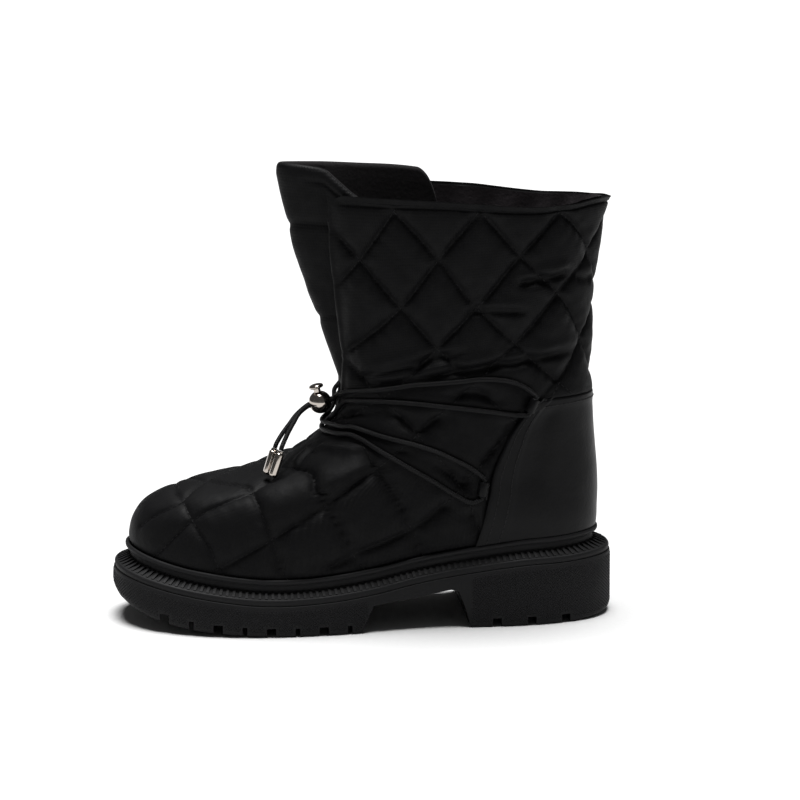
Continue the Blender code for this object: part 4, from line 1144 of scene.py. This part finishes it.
def counterRelief(up, fromFront, fromTop):  # folded strip on top, double front edge and the hollow behind it
    strip = counter["stripRise"] * (1 - ease(*counter["stripFold"], fromTop))
    strip += counter["seamRise"] * (1 - ease(*counter["seamBand"], fromFront))
    hollow = counter["hollow"] * bell(fromFront - counter["hollowAt"], counter["hollowHalf"])
    return strip - hollow * ease(*counter["hollowFrom"], up) * (1 - ease(*counter["hollowTo"], up))


def counterThreads(surface):  # two rows along each front seam and one under the top
    lines = []
    for side in (1, -1):
        up = np.linspace(*counter["threadSpan"], counter["threadPoints"])
        v, _, _, _ = counterPlaces(up, np.full(len(up), side * counter["threadAcross"]))
        for distance in counter["threadAt"]:
            angle = side * (seamAngle(v, side) + distance / counter["degree"])
            lines.append(offLast(v, angle, np.full(len(up), surface + counter["threadLift"])))
    share = np.linspace(*counter["topThreadSpan"], counter["topPoints"])
    v, angle, _, _ = counterPlaces(np.full(len(share), counter["topThread"]), share)
    lifted = np.full(len(share), surface + counter["stripRise"] + counter["topLift"])
    return [*lines, offLast(v, angle, lifted)]


def buildCounter():
    up = np.sort(np.concatenate((np.linspace(0, 1, counter["rows"]), counter["nearEnds"])))
    half = np.sort(np.concatenate((np.linspace(0, 1, counter["half"]), counter["nearSeam"])))
    upGrid, acrossGrid = np.meshgrid(up, np.concatenate((half[::-1], -half[1:])), indexing="ij")
    v, angle, fromFront, fromTop = counterPlaces(upGrid, acrossGrid)
    edge = np.minimum(np.minimum(fromFront, fromTop), upGrid * counter["height"] + counter["footEdge"])
    middle = counter["off"] + counter["thick"] / 2
    base = onLast(v, angle).reshape(-1, 3)
    swell = counter["swell"] * softNoise(base, counter["swellSize"]).reshape(v.shape)
    relief = swell * ease(*counter["swellFrom"], edge) + counterRelief(upGrid, fromFront, fromTop)
    wall = rounded(edge, counter["thick"] / 2)
    outer = offLast(v, angle, middle + wall + relief * ease(0, counter["reliefFrom"], edge))
    inner = offLast(v, angle, middle - wall)
    rows, columns = v.shape
    points = np.concatenate((outer.reshape(-1, 3), inner.reshape(-1, 3)))
    faces = gridFaces(0, rows, columns) + gridFaces(rows * columns, rows, columns, True)
    piece = newPiece("leather_counter", points, faces, [leather], sharp=60, weld=0.02)
    settle(piece, "black_leather", "boot", "heel_counter")
    return counterThreads(middle + counter["thick"] / 2)


counterThread = buildCounter()
print("leather counter made")


# Tongue, which swells through the open front

tongue = {
    "thick": 4.5, "clearance": 1.3, "foot": 8.2, "lateralWing": 62.0, "medialWing": 83.5, "slitShare": 0.84,
    "swellV": (8, 9, 10, 11, 12, 13, 14, 15), "swellOut": (0, 0, 3.2, 7.4, 11.4, 13.4, 14.4, 12.5),
    "flatness": 2.6, "easing": 1.2,
    "topAcross": (-1, -0.97, -0.94, -0.9, -0.6, 0, 0.44, 0.58, 0.72, 1),
    "topV": (13.5, 13.95, 14.2, 14.32, 14.34, 14.34, 14.34, 14.18, 13.96, 13.6),
    "rows": 150, "columns": 260, "nudge": 0.01, "slitLeast": 1.0,
    "topRise": 26, "footRise": 15, "degree": 0.9,  # lengths of a section at both ends and of a degree
    "channels": (171.8, 223.8), "channelDepth": 1.0, "channelHalf": 2.2, "channelFrom": (5, 9),
    "channelWave": 2, "channelTurn": 5, "puff": 0.8, "puffFrom": 14,
    "rimAt": 6.0, "rimHalf": 1.3, "rimShare": 0.9, "rimFrom": (0.32, 0.46),  # stitched inside the rolled rim
    "lumps": 0.7, "lumpSize": 26.0, "wrinkles": 0.2, "wrinkleSize": 7.0, "wrinkleShift": 90,
    "reliefFrom": 5, "highest": 1.1, "innerShare": 0.3, "clothAcross": 60, "clothUp": 22,
}


def tongueMiddle(v, acrossWings):
    angle = acrossWings * np.where(acrossWings >= 0, tongue["lateralWing"], tongue["medialWing"])
    depth = last["wall"] + tongue["clearance"] + tongue["thick"] / 2
    point = offLast(v, angle, np.full(np.shape(v), -depth))
    slit = np.maximum(tongue["slitLeast"], curveThrough(sectionRows, sectionTable["slit"], v))
    slit = slit * tongue["slitShare"]
    swell = curveThrough(tongue["swellV"], tongue["swellOut"], v)
    point[..., 1] -= swell * np.maximum(0, 1 - np.abs(angle / slit) ** tongue["flatness"]) ** tongue["easing"]
    return point


def tongueFace(v, acrossWings):
    nudge = tongue["nudge"]
    along = tongueMiddle(v, acrossWings + nudge) - tongueMiddle(v, acrossWings - nudge)
    up = tongueMiddle(v + nudge, acrossWings) - tongueMiddle(v - nudge, acrossWings)
    return tongueMiddle(v, acrossWings), unit(np.cross(along, up))


def buildTongue():
    ups, sides = closerAtEnds(tongue["rows"]), closerAtEnds(tongue["columns"]) * 2 - 1
    upShare, sideShare = np.meshgrid(ups, sides, indexing="ij")
    top = curveThrough(tongue["topAcross"], tongue["topV"], sideShare)
    v = tongue["foot"] + (top - tongue["foot"]) * upShare
    middle, face = tongueFace(v, sideShare)
    wing = np.where(sideShare >= 0, tongue["lateralWing"], tongue["medialWing"])
    fromSide = (1 - np.abs(sideShare)) * wing * tongue["degree"]
    fromFoot, fromTop = (v - tongue["foot"]) * tongue["footRise"], (top - v) * tongue["topRise"]
    edge = np.minimum(fromTop, np.minimum(fromFoot, fromSide))
    wall = rounded(edge, tongue["thick"] / 2)
    z = middle[..., 2] - tongue["channelWave"] * np.sin(sideShare * tongue["channelTurn"])
    fromChannel = np.min([np.abs(z - level) for level in tongue["channels"]], axis=0)
    pressed = bell(fromChannel, tongue["channelHalf"]) * ease(*tongue["channelFrom"], edge)
    rim = tongue["rimShare"] * bell(edge - tongue["rimAt"], tongue["rimHalf"])
    pressed += rim * ease(*tongue["rimFrom"], sideShare)  # along the near wing
    flat = middle.reshape(-1, 3)
    lumps = tongue["lumps"] * softNoise(flat, tongue["lumpSize"])
    lumps += tongue["wrinkles"] * softNoise(flat + tongue["wrinkleShift"], tongue["wrinkleSize"])
    lumps = lumps.reshape(v.shape)
    inwards = ease(0, tongue["reliefFrom"], edge)
    puff = tongue["puff"] * ease(0, tongue["puffFrom"], fromChannel)
    relief = puff - tongue["channelDepth"] * pressed + lumps
    outer = middle + face * (wall + np.minimum(relief * inwards, tongue["highest"]))[..., None]
    inner = middle - face * (wall + tongue["innerShare"] * lumps * inwards)[..., None]
    rows, columns = v.shape
    points = np.concatenate((outer.reshape(-1, 3), inner.reshape(-1, 3)))
    outside = gridFaces(0, rows, columns)
    inside = gridFaces(rows * columns, rows, columns, True)
    cloth = np.stack((sideShare * tongue["clothAcross"], v * tongue["clothUp"]), -1).reshape(-1, 2)
    uv = np.concatenate((cloth, cloth))
    which = [0] * len(outside) + [1] * len(inside)
    faces = outside + inside
    piece = newPiece("padded_tongue", points, faces, [nylon, fleece], uv, which, sharp=70, weld=0.02)
    settle(piece, "quilted_nylon", "boot", "tongue")


buildTongue()
print("tongue made")


# Sole: felt insole, welt midsole with its ribs, lugged outsole with its knurled wall

sole = {
    "marginY": (-132, -100, -46, 40, 100, 131), "marginOut": (10.0, 8.4, 7.6, 7.2, 8.2, 10.6),
    "floorY": (-143, -141.5, -138, -131, -120, -106, -94, -80, -66, -56, -46.5, 118, 132, 143),
    "floorZ": (20.5, 18.5, 15.0, 11.3, 7.2, 4.1, 2.5, 1.5, 0.7, 0.25, 0.0, 0.0, 1.2, 3.5),
    "half": 240, "turns": 720, "nudge": 0.5, "beside": 0.4,
}
midsole = {  # share of the margin, fixed offset and depth below the lip
    "side": (
        (0, 0.5, 3.0), (0, 0.85, 1.4), (0, 1.2, 0.6), (0, 1.6, 0.15), (0, 2.2, 0.0), (0, 2.8, 0.2),
        (0, 3.2, 0.7), (0, 3.35, 1.4), (0, 3.25, 2.2), (0, 2.8, 2.85), (0, 1.9, 3.3), (0, 0.8, 3.6),
        (0, 0.3, 4.6), (0, 0.3, 6.2), (0, 0.6, 7.1), (0, 1.4, 8.0), (0, 2.7, 8.9), (0.55, 0, 9.6),
        (0.74, 0, 10.1), (0.85, 0, 10.35),
        (0.905, 0, 10.7), (0.935, 0, 11.2), (0.95, 0, 12.0), (0.945, 0, 12.8),
        (0.925, 0, 13.4), (0.90, 0, 13.9),
    ),
    "ribHead": (0, 1.2, 7.6), "ribFoot": (0.76, 0, 10.2), "ribPitch": 3.5, "ribProud": 0.55, "ribWidth": 1.5,
    "ribOver": 0.4, "ribSharp": 60,
}
insole = {"side": ((0, -4.8, 2.7), (0, -4.8, 0.4), (0, -5.0, -0.6), (0, -5.6, -1.1), (0, -6.4, -1.3))}
outsole = {
    "top": ((0.88, 0, 14.2), (0.95, 0, 14.25), (0.985, 0, 14.45), (1.0, 0, 14.9)),
    "foot": ((1.03, 0, 1.5), (1.03, -0.25, 0.75), (1.03, -0.7, 0.2), (1.03, -1.3, 0.0)),
    "archCut": (
        (-5, -6), (-5, 0), (2, 15.5), (25, 18.3), (46, 22.3), (50.5, 21), (54.5, 11), (57.5, 0), (57.5, -6),
    ),
    "halfWidth": 80.0, "lugDepth": 5.0, "edgeInner": 16.0, "centreX": -0.35,
    "edges": {
        "forefoot": {"first": -114.2, "pitch": 14.7, "count": 8, "widths": (5.2, 2.6)},
        "heel": {"first": 72.4, "pitch": 20.0, "count": 3, "widths": (5.0, 5.0)},
    },
    "runs": {"forefoot": (15.0, -111.0, 6.0), "heel": (13.0, 45.0, 128.0)},
    "runWidth": 3.0, "runDepth": 4.4, "crossDepth": 3.9,
    "knurlPitch": 1.9, "knurlRise": 0.42, "knurlAboveArch": 1.6, "smoothWall": (-1.0, 58.0),
    "knurlShift": (0.0, 0.5), "knurlStart": 1.8, "knurlFoot": 0.8, "knurlClear": 1.0, "knurlFill": 0.96,
    "bevel": 0.35, "bevelAngle": 50,
}


def besideUpper(angle, share, fixed, depth):
    foot = onLast(0.0, angle)
    along = onLast(0.0, angle + sole["nudge"]) - onLast(0.0, angle - sole["nudge"])
    outwards = unit(np.stack((along[..., 1], -along[..., 0], np.zeros_like(along[..., 0])), -1))
    margin = curveThrough(sole["marginY"], sole["marginOut"], foot[..., 1])
    point = foot + outwards * (share * margin + fixed)[..., None]
    point[..., 2] = lipHeight(foot[..., 1]) - depth
    return point


def floorHeight(y):
    return np.interp(y, sole["floorY"], sole["floorZ"])


def soleAngles(half):
    turned = np.linspace(0, 180, sole["turns"] + 1)
    run = runAlong(onLast(0.0, turned))
    side = np.interp(np.linspace(0, run[-1], half + 1), run, turned)
    return np.concatenate((side, -side[-2:0:-1]))


def closedLoft(name, loops, material, sharp=35):
    count = len(loops[0])
    faces = ringFaces(len(loops), count)
    for first in (0, (len(loops) - 1) * count):
        faces.append((first, first + 1, first + count - 1))
        for j in range(1, count // 2 - 1):
            faces.append((first + j, first + j + 1, first + count - j - 1, first + count - j))
        faces.append((first + count // 2 - 1, first + count // 2, first + count // 2 + 1))
    return newPiece(name, np.concatenate(loops), faces, [material], sharp=sharp)


def boxCorners(length, width, low, high, middle):
    return [
        (middle[0] + x * length / 2, middle[1] + y * width / 2, z)
        for z in (low, high) for x, y in ((-1, -1), (1, -1), (1, 1), (-1, 1))
    ]


def boxesPiece(name, boxes):
    sides = ((0, 3, 2, 1), (4, 5, 6, 7), (0, 1, 5, 4), (1, 2, 6, 5), (2, 3, 7, 6), (3, 0, 4, 7))
    points, faces = [], []
    for corners in boxes:
        faces += [tuple(len(points) + i for i in side) for side in sides]
        points += corners
    return newPiece(name, points, faces, [])


def grooveCutters():
    edges, runs, crosses = [], [], []
    reach = outsole["halfWidth"] - outsole["edgeInner"]
    depth = outsole["lugDepth"]
    for zone in outsole["edges"].values():
        for k in range(zone["count"]):
            y = zone["first"] + k * zone["pitch"]
            for side in (-1, 1):
                middle = (side * (outsole["edgeInner"] + reach / 2), y)
                edges.append(boxCorners(reach, zone["widths"][k % 2], -depth, floorHeight(y) + depth, middle))
        for k in range(zone["count"] - 1):
            y = zone["first"] + (k + 0.5) * zone["pitch"]
            high = floorHeight(y) + outsole["crossDepth"]
            middle = (outsole["centreX"], y)
            crosses.append(boxCorners(2 * outsole["edgeInner"], outsole["runWidth"], -depth, high, middle))
    for x, start, end in outsole["runs"].values():
        for side in (-1, 1):
            middle = (outsole["centreX"] + side * x, (start + end) / 2)
            runs.append(boxCorners(outsole["runWidth"], end - start, -depth, outsole["runDepth"], middle))
    return boxesPiece("edgeCutter", edges), boxesPiece("runCutter", runs), boxesPiece("crossCutter", crosses)


def prismFaces(count):  # sides and both ends between two equal outlines
    return ringFaces(2, count) + [tuple(range(count)), tuple(range(count, 2 * count))]


def archCutter():
    outline = outsole["archCut"]
    points = [(x, y, z) for x in (-outsole["halfWidth"], outsole["halfWidth"]) for y, z in outline]
    return newPiece("archCutter", points, prismFaces(len(outline)), [])


def studTree():  # one small shape set at every point, turned and sized by the points' own values
    tree = bpy.data.node_groups.new("studs", "GeometryNodeTree")
    tree.interface.new_socket("Points", in_out="INPUT", socket_type="NodeSocketGeometry")
    tree.interface.new_socket("Stud", in_out="INPUT", socket_type="NodeSocketObject")
    tree.interface.new_socket("Rubber", in_out="INPUT", socket_type="NodeSocketMaterial")
    tree.interface.new_socket("Studs", in_out="OUTPUT", socket_type="NodeSocketGeometry")
    start = addNode(tree, "NodeGroupInput")
    shape = addNode(tree, "GeometryNodeObjectInfo", {
        "Object": start.outputs["Stud"],
    }, transform_space="ORIGINAL")
    turn = addNode(tree, "GeometryNodeInputNamedAttribute", {"Name": "turn"}, data_type="FLOAT_VECTOR")
    size = addNode(tree, "GeometryNodeInputNamedAttribute", {"Name": "size"}, data_type="FLOAT_VECTOR")
    rotation = addNode(tree, "FunctionNodeEulerToRotation", {"Euler": turn.outputs["Attribute"]})
    placed = addNode(tree, "GeometryNodeInstanceOnPoints", {
        "Points": start.outputs["Points"], "Instance": shape.outputs["Geometry"],
        "Rotation": rotation.outputs["Rotation"], "Scale": size.outputs["Attribute"],
    })
    real = addNode(tree, "GeometryNodeRealizeInstances", {"Geometry": placed.outputs["Instances"]})
    coated = addNode(tree, "GeometryNodeSetMaterial", {
        "Geometry": real.outputs["Geometry"], "Material": start.outputs["Rubber"],
    })
    addNode(tree, "NodeGroupOutput", {"Studs": coated.outputs["Geometry"]})
    return tree


def stitchTree():  # short threads laid one after another along every line
    tree = bpy.data.node_groups.new("stitchRows", "GeometryNodeTree")
    tree.interface.new_socket("Lines", in_out="INPUT", socket_type="NodeSocketGeometry")
    for name in ("Pitch", "Stitch Length", "Thread Radius"):
        tree.interface.new_socket(name, in_out="INPUT", socket_type="NodeSocketFloat")
    tree.interface.new_socket("Thread", in_out="INPUT", socket_type="NodeSocketMaterial")
    tree.interface.new_socket("Stitches", in_out="OUTPUT", socket_type="NodeSocketGeometry")
    start = addNode(tree, "NodeGroupInput")
    line = addNode(tree, "GeometryNodeMeshToCurve", {"Mesh": start.outputs["Lines"]})
    points = addNode(tree, "GeometryNodeCurveToPoints", {
        "Curve": line.outputs["Curve"], "Length": start.outputs["Pitch"],
    }, mode="LENGTH")
    rod = addNode(tree, "GeometryNodeCurvePrimitiveLine", {
        "Direction": (0, 0, 1), "Length": start.outputs["Stitch Length"],
    }, mode="DIRECTION")
    rim = addNode(tree, "GeometryNodeCurvePrimitiveCircle", {
        "Resolution": 6, "Radius": start.outputs["Thread Radius"],
    }, mode="RADIUS")
    stitch = addNode(tree, "GeometryNodeCurveToMesh", {
        "Curve": rod.outputs["Curve"], "Profile Curve": rim.outputs["Curve"], "Fill Caps": True,
    })
    along = addNode(tree, "FunctionNodeAlignRotationToVector", {
        "Vector": points.outputs["Tangent"],
    }, axis="Z")
    placed = addNode(tree, "GeometryNodeInstanceOnPoints", {
        "Points": points.outputs["Points"], "Instance": stitch.outputs["Mesh"],
        "Rotation": along.outputs["Rotation"],
    })
    real = addNode(tree, "GeometryNodeRealizeInstances", {"Geometry": placed.outputs["Instances"]})
    coated = addNode(tree, "GeometryNodeSetMaterial", {
        "Geometry": real.outputs["Geometry"], "Material": start.outputs["Thread"],
    })
    addNode(tree, "NodeGroupOutput", {"Stitches": coated.outputs["Geometry"]})
    return tree


def runTree(name, host, tree, values):
    modifier = host.modifiers.new(tree.name, "NODES")
    modifier.node_group = tree
    for item in tree.interface.items_tree:
        if item.in_out == "INPUT" and item.name in values:
            modifier[item.identifier] = values[item.name]
    bpy.context.view_layer.update()
    applyModifiers(host)
    host.name = host.data.name = name
    return host


def pointHost(points, turns=None, sizes=None, edges=()):
    mesh = bpy.data.meshes.new("host")
    mesh.from_pydata((np.asarray(points) * mm).tolist(), list(edges), [])
    for name, values in (("turn", turns), ("size", sizes)):
        if values is not None:
            layer = mesh.attributes.new(name, "FLOAT_VECTOR", "POINT")
            layer.data.foreach_set("vector", np.asarray(values, np.float32).ravel())
    host = bpy.data.objects.new("host", mesh)
    bpy.context.scene.collection.objects.link(host)
    return host


def eulersOf(xAxis, zAxis):
    turns = []
    for x, z in zip(xAxis, zAxis):
        x, z = Vector(x).normalized(), Vector(z).normalized()
        y = z.cross(x).normalized()
        x = y.cross(z)
        turns.append(Matrix((x, y, z)).transposed().to_euler())
    return np.array(turns)


studs = studTree()
stitches = stitchTree()


def ribShape():  # rounded bar of unit length along X and unit width along Y, standing up on Z
    outline = (
        (-0.5, -1), (-0.46, 0.1), (-0.34, 0.66), (-0.14, 0.95),
        (0.14, 0.95), (0.34, 0.66), (0.46, 0.1), (0.5, -1),
    )
    ends = ((-0.5, 0.55), (-0.42, 0.9), (-0.3, 1.0), (0.3, 1.0), (0.42, 0.9), (0.5, 0.55))
    count = len(outline)
    points = [(x, y, z * rise if z > 0 else z) for x, rise in ends for y, z in outline]
    faces = ringFaces(len(ends), count)
    faces += [tuple(range(count))[::-1], tuple((len(ends) - 1) * count + k for k in range(count))]
    return newPiece("ribShape", np.array(points) / mm, faces, [], weld=1.0)


def knurlShape():  # low four sided point on a unit base
    points = ((0.5, 0, -0.3), (0, 0.5, -0.3), (-0.5, 0, -0.3), (0, -0.5, -0.3), (0, 0, 1))
    faces = [(0, 1, 4), (1, 2, 4), (2, 3, 4), (3, 0, 4), (3, 2, 1, 0)]
    return newPiece("knurlShape", np.array(points) / mm, faces, [], weld=1.0, sharp=10)


def loopsBeside(rows, angles):
    return [besideUpper(angles, *np.float64(row)) for row in rows]


def footRing(angles, share, fixed, rise):  # ring at a height over the ground line
    ring = besideUpper(angles, np.float64(share), np.float64(fixed), np.float64(0))
    ring[:, 2] = floorHeight(ring[:, 1]) + rise
    return ring


def aroundFoot():  # way round the foot of the upper, with its angles
    turned = np.linspace(0, 360, 2 * sole["turns"] + 1)
    return runAlong(onLast(0.0, turned)), turned


def setStuds(name, makeShape, points, turns, sizes):
    host = pointHost(points, turns, sizes)
    shape = makeShape()
    piece = runTree(name, host, studs, {"Stud": shape, "Rubber": rubber})
    bpy.data.objects.remove(shape)
    return piece


def buildMidsole():
    angles = soleAngles(sole["half"])
    bed = closedLoft("felt_insole", loopsBeside(insole["side"], angles), felt)
    settle(bed, "black_felt", "boot", "insole")
    welt = closedLoft("welt_midsole", loopsBeside(midsole["side"], angles), rubber)
    settle(welt, "black_rubber", "boot", "midsole")


def buildRibs():
    run, turned = aroundFoot()
    count = round(run[-1] / midsole["ribPitch"])
    angles = np.interp((np.arange(count) + 0.5) * run[-1] / count, run, turned)
    head, foot = loopsBeside((midsole["ribHead"], midsole["ribFoot"]), angles)
    beside = besideUpper(angles + sole["beside"], *np.float64(midsole["ribHead"])) - head
    down = unit(foot - head)
    sizes = np.zeros((count, 3))
    sizes[:, 0] = np.linalg.norm(foot - head, axis=1) + midsole["ribOver"]
    sizes[:, 1:] = midsole["ribWidth"], midsole["ribProud"]
    turns = eulersOf(down, np.cross(down, beside) * -1)
    ribs = setStuds("welt_ribs", ribShape, (head + foot) / 2, turns, sizes * mm)
    ribs.data.shade_smooth()
    ribs.data.set_sharp_from_angle(angle=math.radians(midsole["ribSharp"]))
    settle(ribs, "black_rubber")
    print("midsole made,", count, "ribs")


def buildOutsole():
    angles = soleAngles(sole["half"])
    loops = loopsBeside(outsole["top"], angles) + [footRing(angles, *row) for row in outsole["foot"]]
    tread = closedLoft("lugged_outsole", loops, rubber)
    cut(tread, archCutter())
    for cutter in grooveCutters():
        cut(tread, cutter)
    soften(tread, outsole["bevel"], angle=outsole["bevelAngle"])
    settle(tread, "black_rubber", "boot", "outsole")


def knurlKept(at, fall, wall):  # clear of the wall's foot, the smooth arch and the notches
    y, z = at[:, 1], at[:, 2]
    start, end = outsole["smoothWall"]
    clear = outsole["knurlClear"]
    kept = (fall < wall - outsole["knurlFoot"]) & ((y < start) | (y > end))
    kept &= z > np.interp(y, *np.array(outsole["archCut"]).T) + outsole["knurlAboveArch"]
    for zone in outsole["edges"].values():
        for k in range(zone["count"]):
            near = np.abs(y - zone["first"] - k * zone["pitch"]) < zone["widths"][k % 2] / 2 + clear
            kept &= ~(near & (z < floorHeight(y) + outsole["lugDepth"] + clear))
    return kept


def buildKnurl():
    run, turned = aroundFoot()
    top, low = outsole["top"][-1], outsole["foot"][0]
    pitch = outsole["knurlPitch"]
    places, outs, sides = [], [], []
    for shift in outsole["knurlShift"]:
        steps = np.arange(math.ceil(run[-1] / pitch)) + shift
        around = np.interp(steps * pitch % run[-1], run, turned)
        high = besideUpper(around, *np.float64(top))
        deep = footRing(around, *low)
        beside = besideUpper(around + sole["beside"], *np.float64(top)) - high
        wall = np.linalg.norm(high - deep, axis=1)
        for k in range(int(wall.max() / pitch) + 1):
            fall = (k + shift) * pitch + outsole["knurlStart"]
            at = high + (deep - high) * (fall / wall)[:, None]
            kept = knurlKept(at, fall, wall)
            places.append(at[kept])
            sides.append(beside[kept])
            outs.append(np.cross(beside[kept], (high - deep)[kept]))
    places, sides, outs = (np.concatenate(group) for group in (places, sides, outs))
    width = pitch * outsole["knurlFill"]
    sizes = np.tile((width * mm, width * mm, outsole["knurlRise"] * mm), (len(places), 1))
    knurl = setStuds("wall_knurl", knurlShape, places, eulersOf(sides, outs), sizes)
    settle(knurl, "black_rubber")
    print("outsole made,", len(places), "knurl points")


buildMidsole()
buildRibs()
buildOutsole()
buildKnurl()


# Cord tabs, lock and button

button = {
    "profile": (
        (2.0, 4.9), (2.0, 8.2), (3.2, 8.3), (3.8, 8.5), (4.1, 8.85), (4.2, 9.2), (4.05, 9.7), (3.6, 10.15),
        (2.8, 10.5), (1.9, 10.7), (0.9, 10.75),
    ),
    "sides": 40,
}


def circlePoints(radius, turns):
    return [(radius * math.cos(a), radius * math.sin(a)) for a in np.radians(turns)]


def buildTabs():
    tailThread = []
    for side, sideName in ((1, "lateral"), (-1, "medial")):
        for level in tab["places"]:
            middle, down, forwards, out = tabFrame(level, side)
            hole = circlePoints(tab["hole"], [*tab["foldTurns"], *tab["backTurns"]])
            strap = circlePoints(tab["radius"], tab["foldTurns"]) + list(tab["tail"])
            points = []
            rings = ((hole, -1), (strap, -1), (strap, 1), (hole, 1))
            for ring, end in rings:
                points += [middle + forwards * f + out * n + down * end * tab["half"] for f, n in ring]
            looped = ringFaces(len(rings) + 1, len(strap))
            faces = [tuple(k % len(points) for k in face) for face in looped]  # the last ring joins the first
            piece = newPiece(f"leather_tab_{sideName}_{level}", points, faces, [leather], sharp=50)
            soften(piece, tab["bevel"], angle=tab["bevelAngle"])
            settle(piece, "black_leather", "boot", f"tab_{sideName}_{level}")
            start = middle + forwards * tab["threadForwards"] + out * tab["threadOut"]
            tailThread.append(np.array([start + down * d for d in np.linspace(*tab["threadSpan"])]))
    return tailThread


def buildLock():
    centre = np.array(lock["centre"])
    forwards, up = lockAxes()
    sideways = np.array((1.0, 0, 0))
    turns = np.radians(np.linspace(*lock["turns"]))
    ball = [(lock["radius"] * math.sin(a), -lock["radius"] * math.cos(a)) for a in turns]
    body = turnedSolid("ball_lock", ball, lock["sides"], centre, up, sideways, nickel)
    rim = [(lock["slotHalf"] + x, z) for x, z in circlePoints(lock["slotRadius"], lock["slotTurns"])]
    rim += [(-x, -z) for x, z in rim]
    ends = (-lock["cutReach"], lock["cutReach"])
    points = [centre + forwards * end + sideways * x + up * z for end in ends for x, z in rim]
    cut(body, newPiece("slotCutter", points, prismFaces(len(rim)), []))
    bore = ((lock["boreRadius"], lock["boreFloor"]), (lock["boreRadius"], lock["cutReach"]))
    cut(body, turnedSolid("boreCutter", bore, lock["boreSides"], centre, up, sideways, nickel))
    soften(body, lock["bevel"], lock["bevelSteps"], lock["bevelAngle"])
    settle(body, "polished_nickel", "boot", "cord_lock_body")
    cap = turnedSolid("push_button", button["profile"], button["sides"], centre, up, sideways, nickel)
    settle(cap, "polished_nickel", "lock_button", "cord_lock_button")


tabThread = buildTabs()
buildLock()
print("tabs and lock made")


# Stitches: rows of thread over the quilt, the counter and the tabs

stitch = {
    "lift": 0.3, "lowest": 0.45, "highest": 13.75, "fromFlap": 4.0, "fromSeam": 1.0, "overCounter": 131,
    "fewest": 6,
    "quilt": {"Pitch": 3.2 * mm, "Stitch Length": 1.7 * mm, "Thread Radius": 0.24 * mm},
    "counter": {"Pitch": 2.9 * mm, "Stitch Length": 2.2 * mm, "Thread Radius": 0.32 * mm},
}


def threadLines(name, lines, values, slotName):
    points, edges = [], []
    for line in lines:
        edges += [(len(points) + k, len(points) + k + 1) for k in range(len(line) - 1)]
        points += list(line)
    host = pointHost(points, edges=edges)
    piece = runTree(name, host, stitches, {**values, "Thread": thread})
    settle(piece, slotName)


def buildStitches():
    lines = []
    for line in quiltLines["rise"] + quiltLines["fall"]:
        v, angle = line[:, 0], line[:, 1]
        place = onLast(v, angle)
        seen = (v > stitch["lowest"]) & (v < stitch["highest"])
        seen &= np.abs(angle) >= slitAngle(v) + stitch["fromFlap"]
        ahead = place[:, 1] < seamLength(place[:, 2]) - stitch["fromSeam"]
        seen &= ahead | (place[:, 2] > stitch["overCounter"])
        rows = skin(v, angle, stitch["lift"])
        starts = np.flatnonzero(np.diff(np.concatenate(([0], seen.astype(int), [0]))))
        lines += [rows[a:b] for a, b in zip(starts[::2], starts[1::2]) if b - a > stitch["fewest"]]
    threadLines("quilt_stitches", lines, stitch["quilt"], "quilted_nylon")
    threadLines("leather_stitches", counterThread + tabThread, stitch["counter"], "black_leather")


buildStitches()
print("stitches sewn")


# Floor and studio light

studio = {
    "floor": 12.0, "sun": 6.2, "sunAngle": 34.0, "sunTurn": (0.0, -2.0), "world": 0.08,
}


def paleFloor():  # matt white paper sweep
    material, tree, shader = newMaterial("white_paper")
    place = addNode(tree, "ShaderNodeTexCoord")
    grain = addNode(tree, "ShaderNodeTexNoise", {
        "Vector": place.outputs["Object"], "Scale": 1 / (3 * mm), "Detail": 3.0,
    })
    colour = addNode(tree, "ShaderNodeMix", {
        "Factor": grain.outputs["Fac"], 6: linear("#cacaca"), 7: linear("#d0d0d0"),
    }, data_type="RGBA")
    setInputs(shader, {
        "Base Color": colour.outputs[2],
        "Roughness": 0.9, "Specular IOR Level": 0.1,
    })
    mesh = bpy.data.meshes.new("floor")
    size = studio["floor"]
    corners = [(-size, -size, 0), (size, -size, 0), (size, size, 0), (-size, size, 0)]
    mesh.from_pydata(corners, [], [(0, 1, 2, 3)])
    mesh.materials.append(material)
    floor = bpy.data.objects.new("floor", mesh)
    bpy.context.scene.collection.objects.link(floor)


def addLights():
    data = bpy.data.lights.new("softSun", "SUN")
    data.energy = studio["sun"]
    data.angle = math.radians(studio["sunAngle"])
    sun = bpy.data.objects.new("softSun", data)
    sun.rotation_euler = [math.radians(turn) for turn in studio["sunTurn"]] + [0.0]
    bpy.context.scene.collection.objects.link(sun)
    world = bpy.data.worlds.new("studio")
    world.use_nodes = True
    background = world.node_tree.nodes["Background"]
    background.inputs["Color"].default_value = linear("#ffffff")
    background.inputs["Strength"].default_value = studio["world"]
    bpy.context.scene.world = world
    bpy.context.scene.view_settings.view_transform = "Standard"


paleFloor()
addLights()
print("studio lit")
